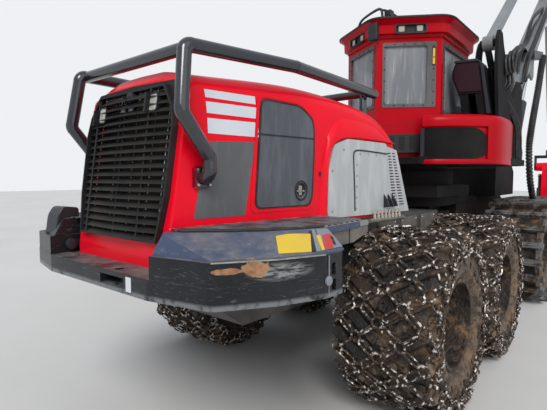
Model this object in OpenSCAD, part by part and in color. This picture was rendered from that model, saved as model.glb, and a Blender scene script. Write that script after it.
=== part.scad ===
// Eight-wheel forestry harvester. Millimetres, +X forward, +Y left, +Z up, ground at Z = 0.
// X is counted from the tail; every node is moved back by x_mid, so the origin is under the middle.

/* [Running gear] */
// Radius of a rear tyre over its lugs
tyre_r = 690; // [680:1:700]
// Width of a tyre
tyre_w = 710; // [690:5:720]
// Lugs on each half of a tyre
lug_count = 18; // [14:1:20]
// Cross bars of a ring chain
chain_bars = 18; // [12:1:20]
// Shoes of a bogie track
shoe_count = 32; // [28:1:34]

/* [Bodywork] */
// Slats in the grille
slat_count = 19; // [15:1:21]
// Sheet thickness of hood and cab
sheet = 20; // [16:1:24]
// Roof height of the cab
roof_z = 3640; // [3600:5:3680]

/* [Crane] */
// Length of the main boom between its pins
boom_len = 3750; // [3700:10:3800]
// Depth of the main boom at its root
boom_h = 300; // [280:5:320]

/* [Hidden] */
$fn = 48;
x_mid = 5085;
x_rear = [2050, 3550];      // axles of the rear bogies
x_front = [6120, 7620];     // axles of the front bogies
x_joint = 4810;             // steering joint
x_slew = 4600;              // middle of the slewing ring
track_y = 1125;             // middle of a wheel
rim_r = 337;
chain_z = tyre_r + 16;      // height of a rear axle
front_r = 664;              // plain tyre inside a track
shoe_t = 66;                // thickness of a track shoe
front_z = front_r + shoe_t; // height of a front axle
side_slope = 0.135;         // hood sides spread towards the cab
side_deg = atan(side_slope);
function side_y(x) = 520 + side_slope * (x - 350);
crane_y = -1050;
boom_deg = atan(0.75);
boom_foot = [5400, crane_y, 2950];
boom_tip = boom_foot + boom_len * [0.8, 0, 0.6];
link_foot = boom_foot + [-1130, 0, 400];
link_tip = boom_tip + [-1130, 0, 400];
stick_pin = boom_tip + [330, 0, -60];
stick_deg = -67.4;
stick_dir = [cos(stick_deg), 0, sin(stick_deg)];
stick_len = 2654;
lift_pin = [5650, crane_y, 2150];
lift_eye = boom_foot + 1150 * [0.8, 0, 0.6] + 320 * [0.6, 0, -0.8];
fold_pin = stick_pin + [-350, 0, 606];
fold_eye = stick_pin + 350 * stick_dir + 330 * [-sin(stick_deg), 0, cos(stick_deg)];
hang_pin = stick_pin + stick_len * stick_dir;
head_pin = hang_pin + [0, 0, -660];

red = [0.72, 0.05, 0.07];
dark = [0.10, 0.10, 0.11];
grey = [0.36, 0.38, 0.40];
pale = [0.62, 0.64, 0.66];
steel = [0.45, 0.42, 0.38];
rubber = [0.13, 0.11, 0.10];

// Helpers

module placed() { translate([-x_mid, 0, 0]) children(); }

module both_sides() { children(); mirror([0, 1, 0]) children(); }

// A box between two opposite corners
module box(a, b) { translate(a) cube(b - a); }

// A round bar along Y between y0 and y1
module bar_y(x, z, r, y0, y1) { translate([x, y0, z]) rotate([-90, 0, 0]) cylinder(h = y1 - y0, r = r); }

// An outline in X and Z, drawn through from y0 to y1
module slab_y(y0, y1) { translate([0, y1, 0]) rotate([90, 0, 0]) linear_extrude(y1 - y0) children(); }

// An outline in X and Y, drawn up from z0 to z1
module slab_z(z0, z1) { translate([0, 0, z0]) linear_extrude(z1 - z0) children(); }

// A round tube from a to b
module rod(a, b, r) {
    v = b - a;
    translate(a) rotate([0, acos(v[2] / norm(v)), atan2(v[1], v[0])]) cylinder(h = norm(v), r = r);
}

// Frame on the right side of the hood at x: local X runs forward along the sheet, -Y points out
module on_side(x) { translate([x, -side_y(x), 0]) rotate([0, 0, -side_deg]) children(); }

// Frame in the crane's plane at a point: local X runs at deg above the horizontal, local Y is up
module in_plane(p, deg, w) {
    translate([p[0], p[1] + w / 2, p[2]]) rotate([90, 0, 0]) rotate(deg) linear_extrude(w) children();
}

function unit(v) = v / norm(v);

// An eye along Y at p
module eye(p, r, w) { bar_y(p[0], p[2], r, p[1] - w / 2, p[1] + w / 2); }

// Wheels

// Tyre section: distance from the middle, radius
tyre_profile = [[-300, rim_r], [-345, 400], [-355, 480], [-340, 580], [-290, 636], [-150, 648],
    [150, 648], [290, 636], [340, 580], [355, 480], [345, 400], [300, rim_r]];

module carcass(r_out) {
    k = (r_out - rim_r) / (648 - rim_r);
    rotate([-90, 0, 0]) rotate_extrude($fn = 72)
        polygon([for (p = tyre_profile) [rim_r + (p[1] - rim_r) * k, p[0] * tyre_w / 710]]);
}

module lugged_tyre() {
    carcass(648);
    for (s = [-1, 1], i = [0 : lug_count - 1])
        rotate([0, (i + (s > 0 ? 0.5 : 0)) * 360 / lug_count, 0])
            translate([0, s * 178, 0]) rotate([0, 0, s * 36])
                translate([-37, -205, 600]) cube([74, 410, tyre_r - 618]);
}

// Tyre chain: diamonds of flat links over the tread, and legs down to a ring on each wall
module ring_chain() {
    r0 = tyre_r - 1.2;
    w = tyre_w / 2 + 4;
    half = 180 / chain_bars;
    row_w = 310;
    reach = 2 * (r0 + 10) * sin(half / 2);
    len = norm([row_w, reach]) + 18;
    rotate([-90, 0, 0]) for (y = [-w - 14, w]) rotate_extrude($fn = 72) translate([548, y]) square([16, 14]);
    for (row = [0, 1], i = [0 : chain_bars - 1], s = [-1, 1])
        rotate([0, (2 * i + row + s / 2) * half, 0]) translate([0, (row - 0.5) * row_w, r0 + 3])
            rotate([0, 0, -s * atan(reach / row_w)]) translate([-9, -len / 2, 0]) cube([18, len, 13]);
    for (i = [0 : chain_bars - 1], s = [-1, 1]) rotate([0, 2 * i * half, 0])
        rotate([90, 0, 90]) translate([0, 0, -8]) linear_extrude(16)
            polygon([[s * 300, r0 + 2], [s * (w + 2), r0 + 2], [s * (w + 2), 556], [s * (w + 12), 556],
                [s * (w + 12), r0 + 15], [s * 300, r0 + 15]]);
}

// Rim section from hub to flange: radius, distance from the middle
module rim(bore) {
    rotate([-90, 0, 0]) rotate_extrude($fn = 72) difference() {
        union() {
            translate([rim_r - 22, -316]) square([22, 632]);
            translate([bore, -40]) square([rim_r - bore - 5, 24]);
            translate([bore, -90]) square([70, 140]);
            for (y = [-316, 306]) translate([rim_r - 22, y]) square([28, 10]);
        }
        translate([bore + 30, 20]) square([60, 40]);
    }
}

// Rear wheels stand on the side s (-1 right, 1 left) and axle n
module at_rear(s, n) {
    translate([x_rear[n], s * track_y, chain_z]) rotate([0, 0, s > 0 ? 0 : 180]) children();
}

module tyre_right_1() { placed() color(rubber) at_rear(-1, 0) lugged_tyre(); }
module tyre_right_2() { placed() color(rubber) at_rear(-1, 1) lugged_tyre(); }
module tyre_left_1() { placed() color(rubber) at_rear(1, 0) lugged_tyre(); }
module tyre_left_2() { placed() color(rubber) at_rear(1, 1) lugged_tyre(); }
module rim_right_1() { placed() color(dark) at_rear(-1, 0) rim(90.3); }
module rim_right_2() { placed() color(dark) at_rear(-1, 1) rim(90.3); }
module rim_left_1() { placed() color(dark) at_rear(1, 0) rim(90.3); }
module rim_left_2() { placed() color(dark) at_rear(1, 1) rim(90.3); }
module chain_right_1() { placed() color(steel) at_rear(-1, 0) ring_chain(); }
module chain_right_2() { placed() color(steel) at_rear(-1, 1) ring_chain(); }
module chain_left_1() { placed() color(steel) at_rear(1, 0) ring_chain(); }
module chain_left_2() { placed() color(steel) at_rear(1, 1) ring_chain(); }

// Rear frame

// Bogie beam seen from the side, with stub axles for the rims and its pivot out of the frame's side
module bogie(axles, z, inner) {
    mid = (axles[0] + axles[1]) / 2;
    difference() {
        slab_y(track_y - 555, track_y - 390) hull() {
            for (x = axles) translate([x, z]) circle(165, $fn = 32);
            translate([mid, z + 60]) circle(190, $fn = 32);
        }
        for (x = axles) bar_y(x, z, 60, track_y - 425, track_y - 385);
    }
    for (x = axles) {
        bar_y(x, z, 125, track_y - 391, track_y - 165);
        bar_y(x, z, 90, track_y - 165, track_y + 165);
    }
    bar_y(mid, z + 60, 150, inner, track_y - 554);
}

module rear_bogies() { placed() color(dark) both_sides() bogie(x_rear, chain_z, 330); }

module rear_chassis() {
    placed() color(grey) {
        slab_y(-330, 330) polygon([[330, 1180], [900, 760], [3800, 700], [4150, 850], [4150, 1400],
            [700, 1400], [330, 1335]]);
        both_sides() slab_y(330, 550) polygon([[2310, 1270], [2500, 1080], [3800, 1080], [4150, 1230],
            [4150, 1400], [2310, 1400]]);
        difference() {
            slab_z(930, 1190) hull() {
                translate([4140, -260]) square([10, 520]);
                translate([x_joint, 0]) circle(150, $fn = 32);
            }
            translate([x_joint, 0, 900]) cylinder(h = 400, r = 70.3);
        }
    }
}

// Rear edge and sides of the bumper in plan: x, half width
bumper_plan = [[-20, 545], [60, 935], [330, 1110], [590, 1215], [790, 1225]];

module bumper_outline(d) {
    offset(r = 60, $fn = 32) offset(delta = -60 - d)
        polygon(concat([for (p = bumper_plan) [p[0], -p[1]]], [for (i = [4 : -1 : 0]) bumper_plan[i]]));
}

// The shoulder over the raised side leans in to the step beside the hood
module bumper_shoulder() {
    hull() {
        slab_z(1405, 1412) polygon([[10, -560], [82, -900], [345, -1082], [600, -1195], [785, -1205],
            [785, -560]]);
        slab_z(1512, 1520) polygon([[70, -530], [130, -640], [330, -850], [560, -1010], [785, -1090],
            [785, -585]]);
    }
    slab_z(1485, 1520) polygon([[780, -580], [780, -1088], [1300, -1060], [1345, -1000], [1345, -665]]);
    slab_z(1400, 1486) translate([780, -750]) square([500, 60]);
}

module rear_bumper() {
    placed() color(dark) {
        difference() {
            union() {
                slab_z(1180, 1290) bumper_outline(0);
                both_sides() slab_z(1285, 1410) intersection() {
                    bumper_outline(2);
                    translate([-100, -1300]) square([1000, 740]);
                }
            }
            slab_z(1100, 1404) difference() {
                translate([330, -900]) square([1000, 1800]);
                translate([0, -300]) square([330, 600]);
            }
            box([-60, -330, 1205], [90, -90, 1262]);
            translate([30, -210, 1100]) cylinder(h = 300, r = 26);
            both_sides() for (z = [1216, 1301]) slab_y(-1300, -1190)
                translate([655, z]) offset(r = 12, $fn = 24) square([14, 44]);
        }
        both_sides() difference() {
            bumper_shoulder();
            translate([0, -520, 1300]) rotate([0, 0, -side_deg])
                translate([-400, -30, 0]) cube([2000, 700, 400]);
        }
    }
}

// Hood sections: x, lower edge, top, corner radius
hood_sections = [[150, 1290, 1420, 25], [290, 1290, 2370, 60], [345, 1300, 2430, 110],
    [1200, 1400, 2475, 130], [1950, 1450, 2410, 150], [2250, 1470, 2290, 150], [2370, 1470, 2120, 120]];
function hood_face(z) = 150 + (z - 1420) * 0.1474;   // X of the leaning rear face

module hood_section(hw, z0, z1, r) {
    hull() {
        translate([-hw, z0]) square([2 * hw, 20]);
        for (s = [-1, 1]) translate([s * (hw - r), z1 - 45 - r]) circle(r, $fn = 24);
        translate([-hw * 0.45, z1 - 10]) square([hw * 0.9, 10]);
    }
}

module hood_body(d) {
    hull() for (s = hood_sections) {
        x = s[0] + (s[0] < 300 ? d : s[0] > 2300 ? -d : 0);
        translate([x, 0, 0]) rotate([90, 0, 90]) linear_extrude(1)
            hood_section(side_y(s[0]) - d, s[1] - 2 * d, s[2] - d, s[3] - d / 2);
    }
}

// Door in the right side, in the frame on_side(745); it turns on pins near its front edge
module door_outline(d) {
    offset(delta = d) offset(r = 45, $fn = 32) offset(delta = -45)
        polygon([[10, 1600], [510, 1600], [545, 1660], [562, 1960], [562, 2140], [545, 2210], [420, 2290],
            [62, 2300]]);
}

door_pin = [596, 11];
door_pin_z = [1790, 2105];

module grille_outline(d) {
    offset(delta = d) polygon([[-420, 1440], [420, 1440], [460, 1700], [468, 2080], [440, 2200], [350, 2330],
        [-350, 2330], [-440, 2200], [-468, 2080], [-460, 1700]]);
}

module hood_shell() {
    placed() color(red) difference() {
        hood_body(0);
        hood_body(sheet);
        slab_y(-2000, 2000) polygon([[140, 1200], [140, 1290], [335, 1290], [335, 1520], [1340, 1520],
            [1380, 1475], [2500, 1475], [2500, 1200]]);
        translate([-100, 0, 0]) rotate([90, 0, 90]) linear_extrude(500) grille_outline(0);
        both_sides() on_side(745) {
            slab_y(-60, 60) { door_outline(6); translate([5, 0]) door_outline(6); }
            for (z = door_pin_z) {
                translate([door_pin[0], door_pin[1], z - 25]) cylinder(h = 81, r = 6.3);
                translate([door_pin[0] - 50, -60, z - 5]) cube([64, 120, 41]);
            }
        }
    }
}

// A louvre: a blade that is bowed in plan and tilted, its lower edge further in
module slat(half) {
    r = 2300;
    a = asin(half / r);
    translate([r, 0, 0]) rotate([0, 0, 180 - a]) rotate_extrude(angle = 2 * a, $fn = 96)
        translate([r - 30, 0]) polygon([[0, 0], [5, 2], [44, -30], [39, -32]]);
}

// A band that leans with the hood's rear face, from x0 to x1 off it
module lean(x0, x1) {
    slab_y(-500, 500) polygon([for (p = [[x0, 1430], [x1, 1430], [x1, 2330], [x0, 2330]])
        [hood_face(p[1]) + p[0], p[1]]]);
}

module rear_grille() {
    pitch = 860 / slat_count;
    placed() color(dark) {
        intersection() {
            translate([50, 0, 0]) rotate([90, 0, 90]) linear_extrude(400) difference() {
                grille_outline(0);
                grille_outline(-12);
            }
            lean(-35, 50);
        }
        for (i = [0 : slat_count - 1]) {
            z = 1478 + i * pitch;
            half = z < 1700 ? 408 + (z - 1440) * 0.154 : z < 2180 ? 450 : 440 - (z - 2180) * 0.64;
            translate([hood_face(z) - 52, 0, z]) slat(half);
        }
        for (y = [-226, 22, 348]) intersection() {
            box([50, y - 8, 1445], [450, y + 8, y == 348 ? 2300 : 2325]);
            lean(-33.7, -20);
        }
        for (l = rear_lamp_at) intersection() {
            box([50, l[0] - 8, l[1] - l[3]], [450, l[0] + 8, l[1] + l[3]]);
            lean(-67.7, -20);
        }
        intersection() {
            box([50, 14, 2286], [450, 30, 2292]);
            lean(-67.7, -20);
        }
    }
}

// Work lamps and camera in front of the louvres: y, z, half width, half height
rear_lamp_at = [[-226, 2236, 50, 56], [348, 2190, 42, 50]];

module rear_lamps() {
    placed() color(pale) {
        for (l = rear_lamp_at) intersection() {
            box([100, l[0] - l[2], l[1] - l[3]], [400, l[0] + l[2], l[1] + l[3]]);
            lean(-104, -68);
        }
        translate([hood_face(2292) - 113, 22, 2292]) rotate([0, 90, 0]) cylinder(h = 44, r = 32);
    }
}

module engine_block() {
    placed() color(grey) {
        box([720, -330, 1400], [1900, 330, 2120]);
        box([440, -420, 1440], [540, 420, 2250]);
        box([540, -60, 1440], [720, 60, 1500]);
    }
}

// Share of a leg that the bend at corner i takes
function bend_reach(p, i, bend) = i == 0 || i == len(p) - 1 ? 2 :
    bend * tan(acos(unit(p[i] - p[i - 1]) * unit(p[i + 1] - p[i])) / 2);

// A tube of radius r through the points p, with its corners bent at the radius bend
module bent_tube(p, r, bend) {
    for (i = [0 : len(p) - 2]) {
        d = unit(p[i + 1] - p[i]);
        rod(p[i] + d * (bend_reach(p, i, bend) - 2), p[i + 1] - d * (bend_reach(p, i + 1, bend) - 2), r);
    }
    for (i = [1 : len(p) - 2]) {
        d0 = unit(p[i] - p[i - 1]);
        d1 = unit(p[i + 1] - p[i]);
        turn = acos(d0 * d1);
        middle = p[i] + unit(d1 - d0) * bend / cos(turn / 2);
        x = unit(p[i] - d0 * bend_reach(p, i, bend) - middle);
        z = unit(cross(d0, d1));
        y = cross(z, x);
        multmatrix([for (k = [0 : 2]) [x[k], y[k], z[k], middle[k]]])
            rotate_extrude(angle = turn, $fn = 48) translate([bend, 0]) circle(r + 1);
    }
}

// Guard rail in front of the hood's corner s, from its foot over the elbow to the cab end
function guard_path(s) = [[366, s * 530, 1800], [366, s * 594, 1800], [366, s * 594, 1905],
    [170, s * 600, 2145], [225, s * 565, 2500], [1040, s * 680, 2520], [2230, s * 640, 2520]];

module hood_guard() {
    placed() color(dark) {
        for (s = [-1, 1]) bent_tube(guard_path(s), 31, 46);
        bar_y(275, 2500, 28, -565, 565);
        bar_y(2150, 2520, 25, -645, 645);
        both_sides() {
            box([2120, -585, 2307], [2180, -565, 2510]);
            on_side(366) slab_z(1745, 1855) translate([-50, -14]) square([100, 13.7]);
        }
    }
}

// Cover and vent plate over the hood's front end, in the frame on_side(1440)
module side_covers() {
    placed() color(grey) both_sides() on_side(1440) {
        slab_y(-30, -0.3) offset(r = 50, $fn = 32) offset(delta = -50)
            polygon([[-20, 1500], [-10, 1850], [50, 2040], [210, 2092], [745, 2085], [745, 1500]]);
        slab_y(-22, -0.3) difference() {
            polygon([[755, 1500], [755, 2060], [900, 2035], [1120, 1500]]);
            for (row = [0 : 18], column = [0, 1]) {
                low = row * 24.5;
                x = 768 + low * 0.19 + column * (64 + low * 0.10);
                translate([x, 2000 - low]) square([44 + low * 0.09, 11]);
            }
        }
    }
}

// Raised red rim that leads over each cover
module hood_arches() {
    placed() color(red) both_sides() on_side(1440) slab_y(-28, -0.3) difference() {
        offset(r = 90, $fn = 32) offset(delta = -90)
            polygon([[-90, 1500], [-60, 1900], [20, 2180], [230, 2245], [600, 2210], [860, 2106],
                [860, 1500]]);
        offset(r = 50, $fn = 32) offset(delta = -50)
            polygon([[-23, 1400], [-13, 1852], [48, 2044], [208, 2095], [950, 2083], [950, 1400]]);
    }
}

module side_door() {
    on_side(745) {
        slab_y(-2, 24) difference() {
            door_outline(0);
            translate([430, 1715]) circle(48, $fn = 32);
        }
        for (z = door_pin_z) {
            translate([door_pin[0], door_pin[1], z - 20]) cylinder(h = 71, r = 6);
            translate([540, 4, z]) cube([56, 14, 31]);
        }
    }
}

module side_door_right() { placed() color(dark) side_door(); }
module side_door_left() { placed() color(dark) mirror([0, 1, 0]) side_door(); }

// Front frame

module front_chassis() {
    placed() color(dark) {
        slab_y(-420, 420) polygon([[5300, 900], [5500, 780], [7700, 780], [8150, 1000], [8150, 1400],
            [7900, 1500], [5300, 1500]]);
        difference() {
            for (z = [[810, 920], [1200, 1320]]) slab_z(z[0], z[1]) hull() {
                translate([5290, -330]) square([20, 660]);
                translate([x_joint, 0]) circle(170, $fn = 32);
            }
            translate([x_joint, 0, 700]) cylinder(h = 800, r = 60);
        }
        translate([x_joint, 0, 800]) cylinder(h = 530, r = 70);
        slab_z(1430, 1560) hull() {
            translate([5290, -420]) square([600, 840]);
            translate([x_slew, 0]) circle(520, $fn = 48);
        }
        slab_z(1320, 1431) translate([x_joint, -200]) square([500, 400]);
        slab_z(1559, 1700) difference() {
            translate([3980, -600]) square([1300, 1200]);
            translate([4200, -350]) square([860, 700]);
        }
        slab_z(1699, 1880) difference() {
            translate([x_slew, 0]) circle(560, $fn = 72);
            translate([x_slew, 0]) circle(400, $fn = 72);
        }
        box([8149, -620, 900], [8260, 620, 1300]);
        for (y = [-450, 450]) slab_z(1060, 1100) translate([0, y]) difference() {
            union() {
                translate([8255, -60]) square([60, 120]);
                translate([8315, 0]) circle(60);
            }
            translate([8315, 0]) circle(32);
        }
    }
}

module front_bogies() { placed() color(dark) both_sides() bogie(x_front, front_z, 420); }

module front_tyres() {
    placed() color(rubber) for (x = x_front, s = [-1, 1])
        translate([x, s * track_y, front_z]) carcass(front_r);
}

module front_rims() {
    placed() color(dark) for (x = x_front, s = [-1, 1])
        translate([x, s * track_y, front_z]) rotate([0, 0, s > 0 ? 0 : 180]) rim(90);
}

// Bogie track: shoes on two side bands, a fixed loop around both wheels
module track_shoe() { translate([-38, -395, front_r]) cube([76, 790, shoe_t]); }

module loop_outline(r) {
    for (x = x_front) translate([x, front_z]) circle(r, $fn = 72);
    translate([x_front[0], front_z - r]) square([x_front[1] - x_front[0], 2 * r]);
}

module track_band(y) {
    slab_y(y - 22, y + 22) difference() {
        loop_outline(front_r + 30);
        loop_outline(front_r);
    }
}

module bogie_track() {
    span = x_front[1] - x_front[0];
    loop = 2 * span + 2 * PI * front_r;
    for (i = [0 : shoe_count - 1]) {
        s = i * loop / shoe_count;
        half = PI * front_r;
        if (s < span) translate([x_front[0] + s, track_y, front_z]) track_shoe();
        else if (s < span + half) translate([x_front[1], track_y, front_z])
            rotate([0, (s - span) / half * 180, 0]) track_shoe();
        else if (s < 2 * span + half) translate([x_front[1] - (s - span - half), track_y, front_z])
            rotate([0, 180, 0]) track_shoe();
        else translate([x_front[0], track_y, front_z])
            rotate([0, 180 + (s - 2 * span - half) / half * 180, 0]) track_shoe();
    }
    for (y = [track_y - 330, track_y + 330]) track_band(y);
}

module bogie_tracks() { placed() color(pale) both_sides() bogie_track(); }

module front_tanks() {
    placed() color(red) slab_y(-700, 700)
        polygon([[6360, 1500], [6360, 1950], [6500, 2100], [7400, 2100], [7700, 1900], [7700, 1500]]);
}

// Turret

deck_plan = [[3640, -500], [3700, 650], [4000, 900], [5100, 900], [5500, 600], [5800, -700], [5780, -1120],
    [5600, -1230], [4500, -1230], [3950, -950]];

module turret_deck() {
    placed() color(dark) {
        slab_z(1960, 2040) offset(r = 40, $fn = 32) offset(delta = -40) polygon(deck_plan);
        translate([x_slew, 0, 1880.3]) cylinder(h = 80, r = 480);
    }
}

// Skirt in plan, from the cab's rear round to the crane's front
skirt_plan = [[3640, -380], [3690, -640], [3850, -900], [4080, -1120], [4270, -1236], [4860, -1275]];

// The skirt's outer line, d inside
function skirt_line(d) = [for (i = [0 : 5]) skirt_plan[i] + d * [0.35 + 0.1 * (5 - i), i == 0 ? 0.4 : 1]];

module skirt_band(z0, z1, out, wall) {
    slab_z(z0, z1) difference() {
        polygon(concat(skirt_line(out), [[4900, -1000], [3900, -360]]));
        polygon(concat([[4960, -1275 + out + wall]], [for (i = [5 : -1 : 0]) skirt_line(out + wall)[i]],
            [[3900, -300], [4960, -900]]));
    }
}

module turret_skirt() {
    placed() color(red) {
        skirt_band(2040, 2105, 0, 26);
        skirt_band(2104, 2330, 22, 20);
        skirt_band(2329, 2400, 0, 26);
        skirt_band(2399, 2430, 12, 26);
    }
}

// Cab in plan, clockwise from the rear middle
cab_plan = [[3560, 0], [3960, 620], [5000, 620], [5320, 330], [5320, -330], [5000, -620], [3960, -620]];

module cab_outline(d) { offset(delta = d) polygon(cab_plan); }

door_axis = [4960, 638];

// Windows, anticlockwise with the inside on the left: start point, end point, sill, head
cab_windows = [[[3560, 0], [3960, -620], 2640, 3380], [[3960, 620], [3560, 0], 2640, 3380],
    [[3960, -620], [5000, -620], 2560, 3380], [[5000, -620], [5320, -330], 2360, 3380],
    [[5320, -330], [5320, 330], 2300, 3380], [[5320, 330], [5000, 620], 2360, 3380]];

module window_cut(w, inset, t0, t1) {
    v = w[1] - w[0];
    n = norm(v);
    translate([w[0][0], w[0][1], 0]) rotate([0, 0, atan2(v[1], v[0])]) translate([inset, t0, w[2]])
        cube([n - 2 * inset, t1 - t0, w[3] - w[2]]);
}

module cab_shell() {
    placed() color(red) {
        difference() {
            slab_z(2100, 3440) cab_outline(0);
            slab_z(2140, 3500) cab_outline(-45);
            for (w = cab_windows) window_cut(w, 70, -80, 80);
            box([4060, 500, 2150], [4960, 700, 3400]);
        }
        for (z = [2400, 3100]) {
            translate([door_axis[0], door_axis[1], z - 50]) cylinder(h = 180, r = 10);
            for (d = [-50, 100]) {
                box([4949, 627, z + d], [5010, 652, z + d + 30]);
                box([4975, 606, z + d], [5010, 630, z + d + 30]);
            }
        }
        slab_z(2040, 2101) cab_outline(-60);
    }
}

// Roof cap: a band with its edge set back above and below, and a crown
module cab_roof() {
    placed() color(red) difference() {
        union() {
            slab_z(3440, 3475) cab_outline(20);
            slab_z(3474, roof_z - 30) offset(r = 40, $fn = 32) cab_outline(30);
            slab_z(roof_z - 31, roof_z) offset(r = 40, $fn = 32) cab_outline(10);
            slab_z(roof_z - 1, roof_z + 40) offset(r = 40, $fn = 32) cab_outline(-140);
        }
        for (l = roof_lamp_walls) window_cut(l, 195, -90, -48);
    }
}

// Recesses under the roof's edge: start, end, lower and upper height
roof_lamp_walls = [[[3560, 0], [3960, -620], 3478, 3572], [[3960, 620], [3560, 0], 3478, 3572],
    [[5320, -330], [5320, 330], 3478, 3572]];

module roof_lamps() {
    placed() color(pale) for (l = roof_lamp_walls, k = [0.36, 0.64]) {
        v = l[1] - l[0];
        translate([l[0][0] + v[0] * k, l[0][1] + v[1] * k, 3490]) rotate([0, 0, atan2(v[1], v[0])])
            translate([-38, -64, 0]) cube([76, 15.7, 72]);
    }
}

module cab_glass() {
    placed() color([0.6, 0.75, 0.8, 0.4]) for (w = cab_windows) window_cut(w, 70, 18, 26);
}

module cab_seat() {
    placed() color(dark) {
        translate([4400, 0, 2140]) cylinder(h = 300, r = 90);
        box([4150, -260, 2439], [4680, 260, 2560]);
        slab_y(-240, 240) polygon([[4160, 2559], [4290, 2559], [4180, 3180], [4060, 3180]]);
        for (s = [-1, 1]) box([4250, s * 350 - 60, 2620], [4800, s * 350 + 60, 2680]);
        for (s = [-1, 1]) box([4300, s * 275 - 40, 2500], [4420, s * 275 + 40, 2640]);
    }
}

module crane_post() {
    placed() color(dark) {
        for (y = [crane_y - 130, crane_y + 95]) slab_y(y, y + 35) polygon([[4400, 2040], [5700, 2040],
            [5730, 2150], [5640, 2260], [5540, 3000], [5430, 3080], [5280, 3060], [4950, 2800], [4420, 3330],
            [4340, 3460], [4220, 3470], [4150, 3380], [4130, 3100], [4240, 2600]]);
        box([4420, crane_y - 96, 2040], [4540, crane_y + 96, 2900]);
        box([4700, crane_y - 96, 2040], [5200, crane_y + 96, 2500]);
        eye(boom_foot, 60, 250);
        eye(link_foot, 45, 250);
        eye(lift_pin, 45, 250);
        box([3980, crane_y + 130, 2500], [4900, crane_y + 320, 3180]);
    }
}

module cab_door() {
    placed() color(red) difference() {
        union() {
            box([4065, 578, 2156], [4955, 620, 3394]);
            for (z = [2400, 3100]) {
                box([4920, 619, z - 15], [4955, 642, z + 95]);
                translate([door_axis[0], door_axis[1], z - 15]) cylinder(h = 110, r = 18);
            }
        }
        box([4160, 560, 2560], [4860, 640, 3300]);
        for (z = [2400, 3100]) translate([door_axis[0], door_axis[1], z - 50]) cylinder(h = 200, r = 10.3);
    }
}

// Crane

module boom_web(len, h0, h1) {
    polygon([[0, -h0 * 0.35], [len * 0.3, -h0 * 0.62], [len * 0.75, -h1 * 0.6], [len, -h1 * 0.5],
        [len, h1 * 0.5], [len * 0.75, h1 * 0.6], [len * 0.3, h0 * 0.4], [0, h0 * 0.35]]);
}

module main_boom() {
    placed() color(pale) difference() {
        union() {
            in_plane(boom_foot, boom_deg, 180) translate([110, 0]) boom_web(boom_len - 190, boom_h, 190);
            eye(boom_foot, 130, 180);
            eye(boom_tip, 105, 180);
            for (y = [-90, 62]) translate([0, y + 14, 0]) in_plane(boom_foot, boom_deg, 28)
                polygon([[900, -120], [1400, -120], [1210, -385], [1090, -385]]);
        }
        eye(boom_foot, 60.3, 400);
        eye(boom_tip, 50.3, 400);
    }
}

module parallel_link() {
    placed() color(pale) difference() {
        union() {
            in_plane(link_foot, boom_deg, 90) translate([50, -50]) square([boom_len - 100, 100]);
            eye(link_foot, 85, 110);
            eye(link_tip, 85, 110);
        }
        eye(link_foot, 45.3, 400);
        eye(link_tip, 45.3, 400);
    }
}

module knuckle_link() {
    placed() color(pale) {
        for (y = [-130, 105]) slab_y(crane_y + y, crane_y + y + 25) hull() {
            translate([link_tip[0], link_tip[2]]) circle(90, $fn = 32);
            translate([boom_tip[0], boom_tip[2]]) circle(110, $fn = 32);
            translate([fold_pin[0], fold_pin[2]]) circle(80, $fn = 32);
            translate([stick_pin[0], stick_pin[2]]) circle(110, $fn = 32);
        }
        eye(boom_tip, 50, 260);
        eye(link_tip, 45, 260);
        eye(stick_pin, 50, 260);
        eye(fold_pin, 40, 260);
    }
}

module stick() {
    placed() color(pale) difference() {
        union() {
            in_plane(stick_pin, stick_deg, 116) translate([40, -60]) square([420, 120]);
            in_plane(stick_pin, stick_deg, 200) translate([400, -110]) square([stick_len - 754, 220]);
            eye(stick_pin, 70, 116);
            for (y = [-90, 62]) translate([0, y + 14, 0]) in_plane(stick_pin, stick_deg, 28)
                polygon([[200, 60], [700, 60], [410, 395], [290, 395]]);
        }
        in_plane(stick_pin, stick_deg, 140.6) translate([600, -80.3]) square([stick_len, 160.6]);
        eye(stick_pin, 50.3, 400);
    }
}

module extension() {
    placed() color(pale) difference() {
        union() {
            in_plane(stick_pin, stick_deg, 140) translate([700, -80]) square([stick_len - 794, 160]);
            in_plane(stick_pin, stick_deg, 100) translate([stick_len - 114, -50]) square([114, 100]);
            eye(hang_pin, 80, 100);
        }
        eye(hang_pin, 35.3, 300);
    }
}

// A cylinder from its pin to its eye: total length, barrel length, radii
module barrel(p, q, len, r) {
    v = (q - p) / norm(q - p);
    difference() {
        union() {
            rod(p + v * 60, p + v * len, r);
            eye(p, r + 15, 100);
        }
        rod(p + v * 95, p + v * (len + 10), r - 25);
        eye(p, r == 80 ? 45.3 : 40.3, 300);
    }
}

module cyl_rod(p, q, start, r, re) {
    v = (q - p) / norm(q - p);
    rod(p + v * start, q - v * 20, r);
    rod(p + v * start, p + v * (start + 60), re);
    eye(q, 55, 100);
}

module lift_barrel() { placed() color(dark) barrel(lift_pin, lift_eye, 930, 80); }
module lift_rod() { placed() color(steel) cyl_rod(lift_pin, lift_eye, 480, 35, 54.7); }
module fold_barrel() { placed() color(dark) barrel(fold_pin, fold_eye, 625, 55); }
module fold_rod() { placed() color(steel) cyl_rod(fold_pin, fold_eye, 500, 25, 29.7); }

// Head

module hanging_link() {
    placed() color(dark) {
        for (y = [-85, 55]) slab_y(crane_y + y, crane_y + y + 30) hull() {
            translate([hang_pin[0], hang_pin[2]]) circle(70, $fn = 32);
            translate([hang_pin[0], hang_pin[2] - 180]) circle(70, $fn = 32);
        }
        box(hang_pin + [-70, -85, -300], hang_pin + [70, 85, -150]);
        eye(hang_pin, 35, 170);
    }
}

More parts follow.
